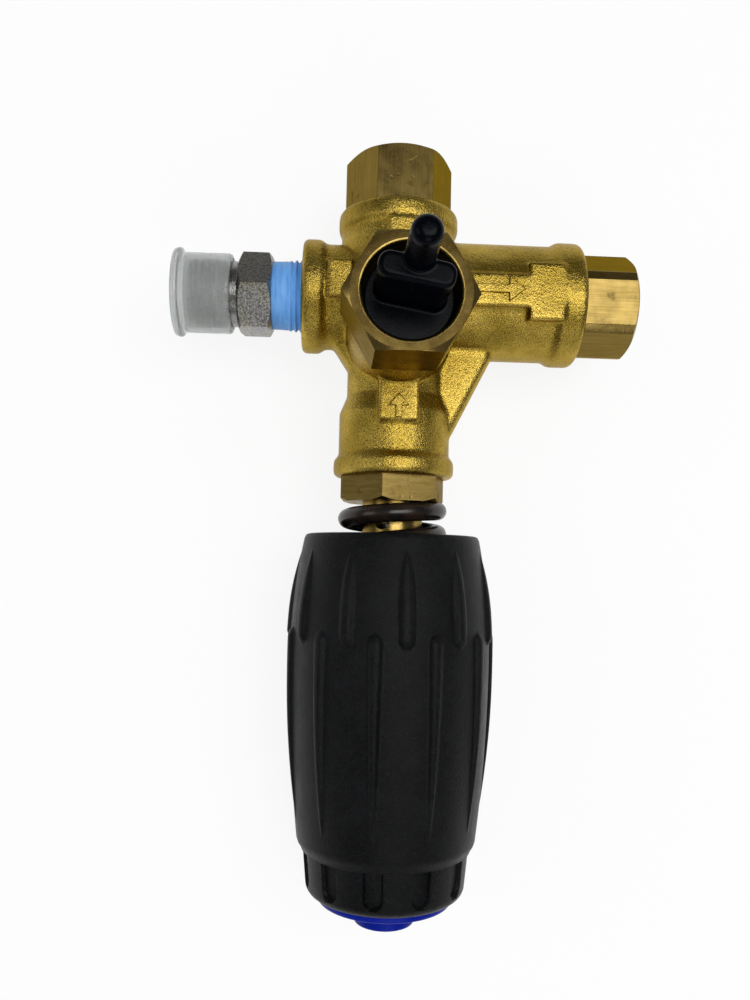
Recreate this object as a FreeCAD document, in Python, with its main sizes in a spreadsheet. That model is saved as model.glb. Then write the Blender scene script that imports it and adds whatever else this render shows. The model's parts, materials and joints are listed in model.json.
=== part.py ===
import FreeCAD, Part
import math
import os
import Sketcher

# Pressure washer unloader valve: a forged brass cross body with screwed ports, a check valve in
# the outlet arm, a spring loaded bypass valve worked by a pilot piston, and an adjusting knob.
# The part stands on its inlet port: the origin is the centre of the inlet mouth, +Z runs up the
# stem to the knob, -Y is the side of the bypass port, and -X is the outlet arm.
# Lengths are millimetres, angles are degrees, and a name ending in _r is a radius.

SIZES = {
    # Lengths along the stem, each counted from the one before it, from the inlet mouth up
    "inlet_face": 14.7,
    "inlet_collar": 4.3,
    "arm_height": 36.6,
    "port_height": 48.2,
    "waist_rise": 15.4,
    "waist_length": 10.5,
    "shoulder_length": 4.5,
    "barrel_length": 10.6,
    "barrel_collar": 5.5,
    # Outside radii of the forging
    "inlet_collar_r": 15.4,
    "stalk_r": 14.6,
    "waist_r": 12.3,
    "barrel_r": 14.1,
    "barrel_collar_r": 15.3,
    "outlet_arm_r": 14.9,
    "outlet_collar_r": 15.9,
    "side_arm_r": 13.3,
    "side_collar_r": 14.4,
    "boss_r": 12.8,
    # Ends of the arms and of the front boss, counted from the stem's axis
    "outlet_face": 46.2,
    "outlet_collar": 5.9,
    "side_face": 24.3,
    "side_collar": 4.5,
    "boss_face": 26.7,
    "collar_slope": 1.5,
    "collar_rounding": 1.4,
    # Webs between the arms and the barrel
    "web_half": 6.0,
    "web_reach": 24.2,
    "web_rise": 15.7,
    "web_slope": 20.2,
    "web_rounding": 2.6,
    "gusset_half": 5.0,
    "gusset_reach": 16.4,
    "gusset_rise": 12.6,
    "gusset_slope": 6.3,
    # Raised label pads
    "pad_height": 0.9,
    "outlet_pad_start": 12.0,
    "outlet_pad_step": 8.8,
    "outlet_pad_narrow": 4.1,
    "outlet_pad_wide": 7.1,
    "outlet_pad_drop": 1.0,
    "side_pad_length": 6.0,
    "side_pad_half": 4.7,
    "side_pad_drop": 1.0,
    "inlet_pad_half": 3.2,
    "inlet_pad_gap": 1.2,
    "bypass_pad_half": 4.9,
    "bypass_pad_rise": 3.4,
    # Clearances
    "running_clearance": 0.05,
    "screwed_clearance": 0.05,
    "seal_clearance": 0.03,
    "valve_clearance": 0.1,
    # Sockets, and the spigots that screw into them
    "spigot_r": 10.5,
    "neck_relief": 0.7,
    "seal_wire_r": 0.85,
    "socket_depth": 13.0,
    "spigot_end_gap": 1.0,
    # Hexagon bar fittings of the inlet and the outlet
    "hexagon_flats": 24.0,
    "hexagon_face_r": 11.6,
    "outlet_bar_r": 13.16,
    "inlet_turn": 56.7,
    "outlet_turn": 9.0,
    "outlet_hexagon": 13.9,
    "port_wall_r": 7.6,
    "port_mouth_r": 8.7,
    "port_depth": 12.5,
    "through_r": 5.5,
    # Passages inside the forging, from the gland down
    "gland_socket": 11.6,
    "cylinder_r": 9.0,
    "cylinder_length": 13.0,
    "stem_guide": 4.5,
    "chamber_r": 5.6,
    "chamber_length": 10.0,
    "seat_bore_r": 7.0,
    "cross_r": 5.2,
    "check_bore_r": 8.0,
    "check_seat_low": 18.5,
    "side_socket_r": 8.3,
    "side_socket_depth": 12.3,
    "passage_r": 4.1,
    "pilot_r": 1.25,
    "pilot_start": 26.5,
    "pilot_rise": 5.4,
    "pilot_angle": 57.0,
    "pilot_length": 34.0,
    # Check valve in the outlet arm
    "check_seat_height": 4.5,
    "check_hole_r": 4.4,
    "small_seal_r": 0.7,
    "check_head_thickness": 2.2,
    "check_boss_r": 5.1,
    "check_boss_height": 1.6,
    "check_flat": 6.1,
    "check_coil_r": 5.9,
    "check_wire_r": 0.45,
    "check_pocket_r": 6.8,
    "check_pocket_depth": 6.0,
    "check_turns": 5,
    # Bypass port on the front boss
    "bypass_spigot_r": 9.55,
    "bypass_socket_depth": 11.0,
    "bypass_flats": 25.5,
    "bypass_rim_r": 12.93,
    "bypass_hexagon": 18.4,
    "bypass_mouth_r": 11.1,
    "bypass_wall_r": 10.2,
    "bypass_depth": 15.0,
    "bypass_through_r": 6.0,
    # Transit plug of the bypass port, its floor counted down from the port's rim
    "plug_floor_depth": 5.3,
    "plug_skirt": 8.3,
    "plug_wall": 1.6,
    "paddle_height": 16.2,
    "paddle_length": 15.0,
    "paddle_thickness": 5.6,
    "paddle_rounding": 2.4,
    "paddle_edge": 1.0,
    "paddle_offset": 0.8,
    "paddle_turn": 10.2,
    "pin_r": 2.5,
    "pin_tip_r": 2.0,
    "pin_length": 14.5,
    "pin_lean": 9.4,
    # Adapter in the side arm, its sealant and its cap, counted from the arm's face
    "adapter_thread": 11.3,
    "adapter_thread_r": 8.25,
    "adapter_stand_off": 7.6,
    "adapter_hexagon": 8.4,
    "adapter_flats": 19.0,
    "adapter_face_step": 0.2,
    "adapter_turn": 28.5,
    "adapter_neck_r": 8.3,
    "adapter_neck": 3.1,
    "adapter_male": 9.6,
    "adapter_male_r": 8.9,
    "adapter_bore_r": 4.0,
    "sealant_r": 9.05,
    "sealant_low_r": 8.75,
    "cap_overlap": 10.8,
    "cap_wall": 1.15,
    "cap_end_gap": 1.2,
    "cap_floor": 2.4,
    "cap_flange_r": 11.2,
    "cap_flange": 1.7,
    "cap_rounding": 1.0,
    # Gland nut and guide sleeve
    "gland_hexagon": 6.3,
    "gland_face_r": 12.5,
    "gland_turn": 29.0,
    "gland_hexagon_turn": 15.4,
    "sleeve_r": 7.6,
    "sleeve_length": 15.0,
    "sleeve_hole_r": 1.85,
    "sleeve_hole_height": 5.2,
    "stem_seal_r": 0.9,
    "back_up_height": 1.2,
    "gland_groove_height": 2.5,
    # Stem, bypass poppet and pilot piston
    "stem_r": 4.0,
    "stem_low_r": 2.6,
    "stem_low_reach": 6.4,
    "stem_step": 4.0,
    "stem_collar_r": 5.2,
    "stem_collar_gap": 3.2,
    "stem_collar": 1.0,
    "stem_end_gap": 7.8,
    "seat_height": 3.4,
    "seat_hole_r": 4.0,
    "seat_cone_r": 4.7,
    "seat_cone_height": 1.1,
    "poppet_r": 5.3,
    "poppet_drop": 4.6,
    "piston_height": 5.8,
    "piston_seal_r": 0.8,
    "piston_back_up": 0.8,
    # Adjusting spring and its upper plate
    "spring_length": 60.6,
    "spring_coil_r": 11.5,
    "spring_wire_r": 2.3,
    "spring_closed_pitch": 4.9,
    "spring_open_turns": 6,
    "spring_turn": 90.0,
    "plate_height": 4.0,
    "plate_r": 14.8,
    "plate_hub_r": 8.8,
    "plate_hub_length": 4.0,
    # Knob, counted both ways from the top of the spring plate
    "knob_mouth_drop": 56.3,
    "knob_belly_drop": 30.0,
    "knob_web": 12.0,
    "knob_skirt_rise": 5.8,
    "knob_skirt_step": 2.8,
    "knob_tail": 10.6,
    "knob_mouth_r": 21.9,
    "knob_belly_r": 24.9,
    "knob_lower_bulge": 0.6,
    "knob_upper_bulge": 0.75,
    "knob_skirt_r": 22.1,
    "knob_tail_r": 20.4,
    "knob_tail_end_r": 19.6,
    "knob_cavity_r": 18.4,
    "knob_cavity_end_r": 17.6,
    "knob_pocket_r": 14.6,
    "knob_turn": 3.2,
    "edge_rounding": 0.8,
    "tail_rounding": 2.6,
    "grip_count": 11,
    "rib_r": 2.1,
    "rib_rise": 1.1,
    "rib_overlap": 3.2,
    "rib_start": 3.9,
    "rib_end": 3.8,
    "slot_half": 2.3,
    "slot_depth": 1.2,
    "slot_end": 2.2,
    # Brass insert, lock nut, and the cap in the knob's end
    "insert_r": 7.0,
    "insert_flange_r": 9.5,
    "insert_flange": 2.0,
    "lock_nut_flats": 13.0,
    "lock_nut_gap": 5.4,
    "lock_nut_height": 5.5,
    "lock_nut_chamfer": 0.5,
    "cap_plug_length": 3.4,
    "cap_plug_wall": 1.6,
    "cap_plug_floor": 0.6,
    "cap_rim_r": 16.6,
    "cap_rim": 1.9,
    "cap_dome_r": 9.5,
    "cap_dome": 1.4,
    "cap_button_r": 7.5,
    "cap_button": 5.5,
}


class Size:
    """A length or angle that keeps its number and the spreadsheet formula behind it."""

    def __init__(self, number, formula):
        self.number = float(number)
        self.formula = formula

    def joined(self, sign, other, number):
        return Size(number, f"({self.formula} {sign} {as_size(other).formula})")

    def __add__(self, other):
        return self.joined("+", other, self.number + as_size(other).number)

    def __sub__(self, other):
        return self.joined("-", other, self.number - as_size(other).number)

    def __mul__(self, other):
        return self.joined("*", other, self.number * as_size(other).number)

    def __truediv__(self, other):
        return self.joined("/", other, self.number / as_size(other).number)

    def __neg__(self):
        return Size(-self.number, f"(-1 * {self.formula})")


class SizeTable:
    """Gives each named size of the spreadsheet as an attribute."""

    def __getattr__(self, name):
        return Size(SIZES[name], f"Sizes.{name}")


def as_size(value):
    """Turn a plain number into a Size."""
    return value if isinstance(value, Size) else Size(value, repr(value))


def polar(radius, angle):
    """Give the two coordinates of a point at a radius and an angle in degrees."""
    radius, angle = as_size(radius), as_size(angle)
    radians = math.radians(angle.number)
    return (
        Size(radius.number * math.cos(radians), f"({radius.formula} * cos({angle.formula}))"),
        Size(radius.number * math.sin(radians), f"({radius.formula} * sin({angle.formula}))"),
    )


def tangent(angle):
    """Give the tangent of an angle in degrees."""
    return Size(math.tan(math.radians(angle.number)), f"tan({angle.formula})")


size = SizeTable()
doc = FreeCAD.newDocument("unloader_valve")
sheet = doc.addObject("Spreadsheet::Sheet", "Sizes")
for row, (size_name, size_value) in enumerate(SIZES.items(), start=1):
    sheet.set(f"A{row}", size_name)
    sheet.set(f"B{row}", str(size_value))
    sheet.setAlias(f"B{row}", size_name)
doc.recompute()

pieces = []

# The four directions that pieces are turned about, each with the way its local Z axis points
UPRIGHT = (FreeCAD.Rotation(), FreeCAD.Vector(0, 0, 1), None)
OUTLET = (FreeCAD.Rotation(FreeCAD.Vector(0, 1, 0), -90), FreeCAD.Vector(-1, 0, 0), size.arm_height)
SIDE = (FreeCAD.Rotation(FreeCAD.Vector(0, 1, 0), 90), FreeCAD.Vector(1, 0, 0), size.arm_height)
FRONT = (FreeCAD.Rotation(FreeCAD.Vector(1, 0, 0), 90), FreeCAD.Vector(0, -1, 0), size.port_height)


def stand(piece, direction, distance=0, turn=0):
    """Place a piece on one of the four directions, a distance out from the stem's axis."""
    rotation, way, height = direction
    spin = FreeCAD.Rotation(FreeCAD.Vector(0, 0, 1), as_size(turn).number)
    piece.Placement = FreeCAD.Placement(FreeCAD.Vector(), rotation.multiply(spin))
    for letter, part in zip("xyz", way):
        place = as_size(distance) * round(part)
        if letter == "z" and height is not None:
            place = place + height
        piece.setExpression(f".Placement.Base.{letter}", place.formula)
    return piece


def new_body(label, direction=UPRIGHT, turn=0):
    """Start a sub-part of its own."""
    body = doc.addObject("PartDesign::Body", label)
    body.Label = label
    stand(body, direction, 0, turn)
    pieces.append(body)
    return body


def set_size(feature, name, value):
    """Bind one property of a feature to a size."""
    feature.setExpression(name, as_size(value).formula)


def new_sketch(body, name, plane, shift):
    """Attach a sketch to one of the body's own origin planes."""
    sketch = body.newObject("Sketcher::SketchObject", name)
    for feature in body.Origin.OriginFeatures:
        if feature.Role == plane:
            sketch.AttachmentSupport = [(feature, "")]
    sketch.MapMode = "FlatFace"
    start = FreeCAD.Vector(*[as_size(value).number for value in shift])
    sketch.AttachmentOffset = FreeCAD.Placement(start, FreeCAD.Rotation())
    for letter, value in zip("xyz", shift):
        set_size(sketch, f".AttachmentOffset.Base.{letter}", value)
    return sketch


def fix_point(sketch, element, corner, place):
    """Hold a point of the sketch at its two coordinates."""
    for kind, value, axis in zip(("DistanceX", "DistanceY"), place, (-2, -1)):
        if not isinstance(value, Size) and value == 0:
            sketch.addConstraint(Sketcher.Constraint("PointOnObject", element, corner, axis))
            continue
        number = as_size(value).number
        index = sketch.addConstraint(Sketcher.Constraint(kind, -1, 1, element, corner, number))
        set_size(sketch, f"Constraints[{index}]", value)


def outline(body, name, points, plane="XZ_Plane", shift=(0, 0, 0)):
    """Draw a closed outline. A point is (x, y), or (x, y, via x, via y) where an arc leaves it."""
    sketch = new_sketch(body, name, plane, shift)
    corners = [FreeCAD.Vector(as_size(p[0]).number, as_size(p[1]).number, 0) for p in points]
    ends = []
    for index, point in enumerate(points):
        here, following = corners[index], corners[(index + 1) % len(corners)]
        if len(point) == 2:
            sketch.addGeometry(Part.LineSegment(here, following))
            ends.append((1, 2))
            continue
        middle = FreeCAD.Vector(as_size(point[2]).number, as_size(point[3]).number, 0)
        arc = Part.Arc(here, middle, following)
        sketch.addGeometry(arc)
        starts_here = sketch.getPoint(index, 1).distanceToPoint(here) < 1e-6
        ends.append((1, 2) if starts_here else (2, 1))
    for index in range(len(points)):
        after = (index + 1) % len(points)
        link = Sketcher.Constraint("Coincident", index, ends[index][1], after, ends[after][0])
        sketch.addConstraint(link)
    for index, point in enumerate(points):
        fix_point(sketch, index, ends[index][0], point[:2])
    for index, point in enumerate(points):
        if len(point) == 4:
            middle = FreeCAD.Vector(as_size(point[2]).number, as_size(point[3]).number, 0)
            mark = sketch.addGeometry(Part.Point(middle), True)
            fix_point(sketch, mark, 1, point[2:])
            sketch.addConstraint(Sketcher.Constraint("PointOnObject", mark, 1, index))
    return sketch


def circle(body, name, radius, plane="XY_Plane", shift=(0, 0, 0)):
    """Draw one circle round the sketch's own origin."""
    sketch = new_sketch(body, name, plane, shift)
    number = as_size(radius).number
    centre = FreeCAD.Vector()
    sketch.addGeometry(Part.Circle(centre, FreeCAD.Vector(0, 0, 1), number))
    sketch.addConstraint(Sketcher.Constraint("Coincident", 0, 3, -1, 1))
    index = sketch.addConstraint(Sketcher.Constraint("Radius", 0, number))
    set_size(sketch, f"Constraints[{index}]", radius)
    return sketch


def turned(body, name, sketch, axis="V_Axis"):
    """Turn an outline about a line of its sketch, adding material."""
    feature = body.newObject("PartDesign::Revolution", name)
    feature.Profile = sketch
    feature.ReferenceAxis = (sketch, [axis])
    feature.Angle = 360
    return feature


def bored(body, name, sketch, axis="V_Axis"):
    """Turn an outline about a line of its sketch, taking material away."""
    feature = body.newObject("PartDesign::Groove", name)
    feature.Profile = sketch
    feature.ReferenceAxis = (sketch, [axis])
    feature.Angle = 360
    return feature


def raised(body, name, sketch, length, both_ways=False, backwards=False):
    """Pad a sketch."""
    feature = body.newObject("PartDesign::Pad", name)
    feature.Profile = sketch
    feature.SideType = "Symmetric" if both_ways else "One side"
    feature.Reversed = backwards
    set_size(feature, "Length", length)
    return feature


def cut(body, name, sketch, length, both_ways=False, backwards=False):
    """Pocket a sketch."""
    feature = body.newObject("PartDesign::Pocket", name)
    feature.Profile = sketch
    feature.SideType = "Symmetric" if both_ways else "One side"
    feature.Reversed = backwards
    set_size(feature, "Length", length)
    return feature


def repeated(body, name, originals, count):
    """Repeat features round the body's Z axis."""
    pattern = body.newObject("PartDesign::PolarPattern", name)
    pattern.Originals = originals
    for feature in body.Origin.OriginFeatures:
        if feature.Role == "Z_Axis":
            pattern.Axis = (feature, [""])
    pattern.Angle = 360
    set_size(pattern, "Occurrences", count)
    body.Tip = pattern
    return pattern


def rounded(body, name, places, radius):
    """Round the edges of the body that pass through the given places."""
    doc.recompute()
    shape = body.Tip.Shape
    names = []
    for number, edge in enumerate(shape.Edges, start=1):
        for place in places:
            spot = FreeCAD.Vector(*[as_size(value).number for value in place])
            if edge.distToShape(Part.Vertex(spot))[0] < 0.02:
                names.append(f"Edge{number}")
                break
    feature = body.newObject("PartDesign::Fillet", name)
    feature.Base = (body.Tip if body.Tip is not feature else feature.BaseFeature, names)
    set_size(feature, "Radius", radius)
    return feature


def milled_hexagon(body, name, flats, low, high, turn=0):
    """Mill six flats on a turned piece between two heights."""
    corner_r = as_size(flats) / math.sqrt(3)
    sketch = outline(
        body,
        f"{name}_flats",
        [polar(corner_r, as_size(turn) + 60 * corner) for corner in range(6)],
        "XY_Plane",
        (0, 0, high),
    )
    ring = sketch.addGeometry(
        Part.Circle(FreeCAD.Vector(), FreeCAD.Vector(0, 0, 1), corner_r.number * 1.5)
    )
    sketch.addConstraint(Sketcher.Constraint("Coincident", ring, 3, -1, 1))
    index = sketch.addConstraint(Sketcher.Constraint("Radius", ring, corner_r.number * 1.5))
    set_size(sketch, f"Constraints[{index}]", corner_r * 1.5)
    return cut(body, f"{name}_milling", sketch, high - low)


def seal_ring(label, direction, distance, centre_r, wire_r):
    """Make an O-ring round one of the four directions."""
    ring = doc.addObject("Part::Torus", label)
    ring.Label = label
    set_size(ring, "Radius1", centre_r)
    set_size(ring, "Radius2", wire_r)
    stand(ring, direction, distance)
    pieces.append(ring)
    return ring


def turned_piece(label, points, direction=UPRIGHT, turn=0):
    """Make a plain turned sub-part from its half section."""
    body = new_body(label, direction, turn)
    turned(body, f"{label}_turned", outline(body, f"{label}_section", points))
    return body


# Sizes and places that more than one piece takes from the table
SLOPE = math.tan(math.radians(30))
socket_r = size.spigot_r + size.screwed_clearance
seal_seat = size.seal_wire_r * 2 + 0.1
stem_bore_r = size.stem_r + size.running_clearance
waist_low = size.arm_height + size.waist_rise
waist_high = waist_low + size.waist_length
barrel_low = waist_high + size.shoulder_length
barrel_high = barrel_low + size.barrel_length
body_top = barrel_high + size.barrel_collar
cylinder_top = body_top - size.gland_socket
cylinder_low = cylinder_top - size.cylinder_length
chamber_top = cylinder_low - size.stem_guide
seat_top = chamber_top - size.chamber_length
seat_low = seat_top - size.seat_height
stem_low = seat_top - size.stem_low_reach
gland_tip = cylinder_top + size.spigot_end_gap
spring_low = body_top + size.gland_hexagon
plate_low = spring_low + size.spring_length
insert_low = plate_low + size.plate_height
knob_low = insert_low - size.knob_mouth_drop
knob_belly = insert_low - size.knob_belly_drop
knob_web_low = insert_low + size.insert_flange
knob_web_high = insert_low + size.knob_web
knob_skirt = knob_web_high + size.knob_skirt_rise
knob_skirt_end = knob_skirt + size.knob_skirt_step
knob_tail_end = knob_skirt_end + size.knob_tail
outlet_end = size.outlet_face + size.outlet_hexagon
outlet_tip = size.outlet_face - size.socket_depth + size.spigot_end_gap
outlet_collar_start = size.outlet_face - size.outlet_collar
check_seat_top = size.check_seat_low + size.check_seat_height
check_spring_low = check_seat_top + size.check_head_thickness
check_spring_high = outlet_tip + size.check_pocket_depth
side_collar_start = size.side_face - size.side_collar
adapter_hexagon_low = size.side_face + size.adapter_stand_off
adapter_hexagon_high = adapter_hexagon_low + size.adapter_hexagon
adapter_end = adapter_hexagon_high + size.adapter_neck + size.adapter_male
bypass_end = size.boss_face + size.bypass_hexagon
plug_floor = bypass_end - size.plug_floor_depth


def neck_r(spigot_r):
    """Radius of the relieved neck that carries a spigot's O-ring."""
    return spigot_r - size.neck_relief


def seal_seat_r(spigot_r):
    """Radius of the counterbore that takes a spigot's O-ring."""
    return neck_r(spigot_r) + seal_seat


def seal_centre_r(spigot_r):
    """Radius of the middle of a spigot's O-ring."""
    return neck_r(spigot_r) + size.seal_wire_r + size.seal_clearance


def make_valve_body():
    """The forging: stalk and barrel, two arms, front boss, webs and label pads, with its bores."""
    body = new_body("valve_body")
    web_low = size.arm_height + size.web_rise
    web_high = web_low + size.web_slope
    gusset_low = size.arm_height + size.gusset_rise
    gusset_high = gusset_low + size.gusset_slope
    inlet_collar_top = size.inlet_face + size.inlet_collar
    web = [
        (0, size.arm_height),
        (-size.web_reach, size.arm_height),
        (-size.web_reach, web_low),
        (-size.barrel_r, web_high),
        (0, web_high),
    ]
    raised(body, "web", outline(body, "web_outline", web), size.web_half * 2, both_ways=True)
    gusset = [
        (0, size.arm_height),
        (size.gusset_reach, size.arm_height),
        (size.gusset_reach, gusset_low),
        (size.waist_r, gusset_high),
        (0, gusset_high),
    ]
    gusset_outline = outline(body, "gusset_outline", gusset)
    raised(body, "gusset", gusset_outline, size.gusset_half * 2, both_ways=True)
    web_middle = ((size.web_reach + size.barrel_r) / 2, (web_low + web_high) / 2)
    gusset_middle = ((size.gusset_reach + size.waist_r) / 2, (gusset_low + gusset_high) / 2)
    web_edges = []
    gusset_edges = []
    for way in (-1, 1):
        web_edges.append((-web_middle[0], size.web_half * way, web_middle[1]))
        web_edges.append((-size.web_reach, size.web_half * way, web_low - 1))
        gusset_edges.append((gusset_middle[0], size.gusset_half * way, gusset_middle[1]))
        gusset_edges.append((size.gusset_reach, size.gusset_half * way, gusset_low - 1))
    rounded(body, "web_edges", web_edges, size.web_rounding)
    rounded(body, "gusset_edges", gusset_edges, size.web_rounding)
    stalk = [
        (0, size.inlet_face),
        (size.inlet_collar_r, size.inlet_face),
        (size.inlet_collar_r, inlet_collar_top),
        (size.stalk_r, inlet_collar_top + size.collar_slope),
        (size.stalk_r, size.arm_height),
        (size.waist_r, waist_low),
        (size.waist_r, waist_high),
        (size.barrel_r, barrel_low),
        (size.barrel_r, barrel_high),
        (size.barrel_collar_r, barrel_high + size.collar_slope),
        (size.barrel_collar_r, body_top),
        (0, body_top),
    ]
    turned(body, "stalk", outline(body, "stalk_section", stalk))
    arms = [
        (-size.outlet_face, 0),
        (-size.outlet_face, size.outlet_collar_r),
        (-outlet_collar_start, size.outlet_collar_r),
        (-outlet_collar_start + size.collar_slope, size.outlet_arm_r),
        (0, size.outlet_arm_r),
        (0, size.side_arm_r),
        (side_collar_start - size.collar_slope, size.side_arm_r),
        (side_collar_start, size.side_collar_r),
        (size.side_face, size.side_collar_r),
        (size.side_face, 0),
    ]
    arms_section = outline(body, "arms_section", arms, shift=(0, size.arm_height, 0))
    turned(body, "arms", arms_section, "H_Axis")
    rounded(
        body,
        "collar_edges",
        [
            (-size.inlet_collar_r, 0, size.inlet_face),
            (-size.inlet_collar_r, 0, inlet_collar_top),
            (-size.outlet_face, 0, size.arm_height + size.outlet_collar_r),
            (-outlet_collar_start, 0, size.arm_height + size.outlet_collar_r),
            (size.side_face, 0, size.arm_height + size.side_collar_r),
            (side_collar_start, 0, size.arm_height + size.side_collar_r),
            (size.barrel_collar_r, 0, body_top),
            (size.barrel_collar_r, 0, barrel_high + size.collar_slope),
        ],
        size.collar_rounding,
    )
    make_label_pads(body)
    boss = circle(body, "boss_circle", size.boss_r, "XZ_Plane", (0, size.port_height, 0))
    raised(body, "boss", boss, size.boss_face)
    bore_valve_body(body)
    return body


def make_label_pads(body):
    """Four low raised pads, flat on top, one by each port."""
    step = outlet_collar_start - size.outlet_pad_step
    side_pad_end = size.outlet_pad_start + size.side_pad_length
    inlet_pad_low = size.inlet_face + size.inlet_collar + size.inlet_pad_gap
    outlet = [
        (-size.outlet_pad_start, size.outlet_pad_drop + size.outlet_pad_narrow),
        (-size.outlet_pad_start, size.outlet_pad_drop - size.outlet_pad_narrow),
        (-step, size.outlet_pad_drop - size.outlet_pad_narrow),
        (-step, size.outlet_pad_drop - size.outlet_pad_wide),
        (-outlet_collar_start, size.outlet_pad_drop - size.outlet_pad_wide),
        (-outlet_collar_start, size.outlet_pad_drop + size.outlet_pad_wide),
        (-step, size.outlet_pad_drop + size.outlet_pad_wide),
        (-step, size.outlet_pad_drop + size.outlet_pad_narrow),
    ]
    side = [
        (size.outlet_pad_start, -size.side_pad_drop + size.side_pad_half),
        (size.outlet_pad_start, -size.side_pad_drop - size.side_pad_half),
        (side_pad_end, -size.side_pad_drop - size.side_pad_half),
        (side_pad_end, -size.side_pad_drop + size.side_pad_half),
    ]
    inlet = [
        (-size.inlet_pad_half, inlet_pad_low),
        (size.inlet_pad_half, inlet_pad_low),
        (size.inlet_pad_half, size.arm_height),
        (-size.inlet_pad_half, size.arm_height),
    ]
    bypass = [
        (-size.bypass_pad_half, size.port_height + size.boss_r / 2),
        (size.bypass_pad_half, size.port_height + size.boss_r / 2),
        (size.bypass_pad_half, barrel_low + size.bypass_pad_rise),
        (-size.bypass_pad_half, barrel_low + size.bypass_pad_rise),
    ]
    pads = (
        ("outlet_pad", outlet, size.outlet_arm_r, size.arm_height),
        ("side_pad", side, size.side_arm_r, size.arm_height),
        ("inlet_pad", inlet, size.stalk_r, 0),
        ("bypass_pad", bypass, size.barrel_r, 0),
    )
    for name, points, carrier_r, height in pads:
        top = carrier_r + size.pad_height
        sketch = outline(body, f"{name}_outline", points, shift=(0, height, top))
        raised(body, name, sketch, top - size.waist_r / 2, backwards=True)


def bore_valve_body(body):
    """The sockets, the valve chambers and the pilot passage of the forging."""
    upright = [
        (0, size.inlet_face),
        (seal_seat_r(size.spigot_r), size.inlet_face),
        (seal_seat_r(size.spigot_r), size.inlet_face + seal_seat),
        (socket_r, size.inlet_face + seal_seat),
        (socket_r, size.inlet_face + size.socket_depth),
        (size.seat_bore_r, size.inlet_face + size.socket_depth),
        (size.seat_bore_r, seat_top),
        (size.chamber_r, seat_top),
        (size.chamber_r, chamber_top),
        (stem_bore_r, chamber_top),
        (stem_bore_r, cylinder_low),
        (size.cylinder_r, cylinder_low),
        (size.cylinder_r, cylinder_top),
        (socket_r, cylinder_top),
        (socket_r, body_top - seal_seat),
        (seal_seat_r(size.spigot_r), body_top - seal_seat),
        (seal_seat_r(size.spigot_r), body_top),
        (0, body_top),
    ]
    bored(body, "upright_bore", outline(body, "upright_bore_section", upright))
    outlet_socket_end = -size.outlet_face + size.socket_depth
    side_socket_end = size.side_face - size.side_socket_depth
    across = [
        (-size.outlet_face, 0),
        (-size.outlet_face, seal_seat_r(size.spigot_r)),
        (-size.outlet_face + seal_seat, seal_seat_r(size.spigot_r)),
        (-size.outlet_face + seal_seat, socket_r),
        (outlet_socket_end, socket_r),
        (outlet_socket_end, size.check_bore_r),
        (-size.check_seat_low, size.check_bore_r),
        (-size.check_seat_low, size.cross_r),
        (side_socket_end, size.cross_r),
        (side_socket_end, size.side_socket_r),
        (size.side_face, size.side_socket_r),
        (size.side_face, 0),
    ]
    across_section = outline(body, "cross_bore_section", across, shift=(0, size.arm_height, 0))
    bored(body, "cross_bore", across_section, "H_Axis")
    boss_socket_r = size.bypass_spigot_r + size.screwed_clearance
    boss_socket_end = -size.boss_face + size.bypass_socket_depth
    front = [
        (-size.boss_face, 0),
        (-size.boss_face, seal_seat_r(size.bypass_spigot_r)),
        (-size.boss_face + seal_seat, seal_seat_r(size.bypass_spigot_r)),
        (-size.boss_face + seal_seat, boss_socket_r),
        (boss_socket_end, boss_socket_r),
        (boss_socket_end, size.passage_r),
        (0, size.passage_r),
        (0, 0),
    ]
    front_section = outline(body, "front_bore_section", front, "YZ_Plane", (0, size.port_height, 0))
    bored(body, "front_bore", front_section, "H_Axis")
    along = polar(size.pilot_length, size.pilot_angle)
    aside = polar(size.pilot_r, size.pilot_angle + 90)
    start = (-size.pilot_start, size.arm_height + size.pilot_rise)
    end = (start[0] + along[0], start[1] + along[1])
    pilot = [
        start,
        end,
        (end[0] + aside[0], end[1] + aside[1]),
        (start[0] + aside[0], start[1] + aside[1]),
    ]
    bored(body, "pilot_passage", outline(body, "pilot_passage_section", pilot), "Edge1")


def hexagon_fitting(label, direction, places, radii, turn, pocket=None):
    """A screwed fitting of hexagon bar: mouth, shoulder against the forging, and spigot."""
    mouth, shoulder, tip, depth = places
    face_r, bar_r, flats, mouth_r, wall_r, spigot_r, through_r = radii
    out = 1 if mouth is not None else -1
    mouth = as_size(0) if mouth is None else mouth
    bar_start = mouth - (bar_r - face_r) * SLOPE * out
    points = [
        (face_r, mouth),
        (bar_r, bar_start),
        (bar_r, shoulder),
        (neck_r(spigot_r), shoulder),
        (neck_r(spigot_r), shoulder - seal_seat * out),
        (spigot_r, shoulder - seal_seat * out),
        (spigot_r, tip + size.edge_rounding * out),
        (spigot_r - size.edge_rounding, tip),
    ]
    if pocket is None:
        points.append((through_r, tip))
    else:
        pocket_r, pocket_depth = pocket
        points.append((pocket_r, tip))
        points.append((pocket_r, tip + pocket_depth * out))
        points.append((through_r, tip + pocket_depth * out))
    points.append((through_r, mouth - depth * out))
    points.append((wall_r, mouth - depth * out))
    if mouth_r is None:
        points.append((wall_r, mouth))
    else:
        points.append((wall_r, mouth - (mouth_r - wall_r) * out))
        points.append((mouth_r, mouth))
    body = turned_piece(label, points, direction)
    if out > 0:
        milled_hexagon(body, label, flats, shoulder, mouth, turn)
    else:
        milled_hexagon(body, label, flats, mouth, shoulder, turn)
    return body


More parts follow.
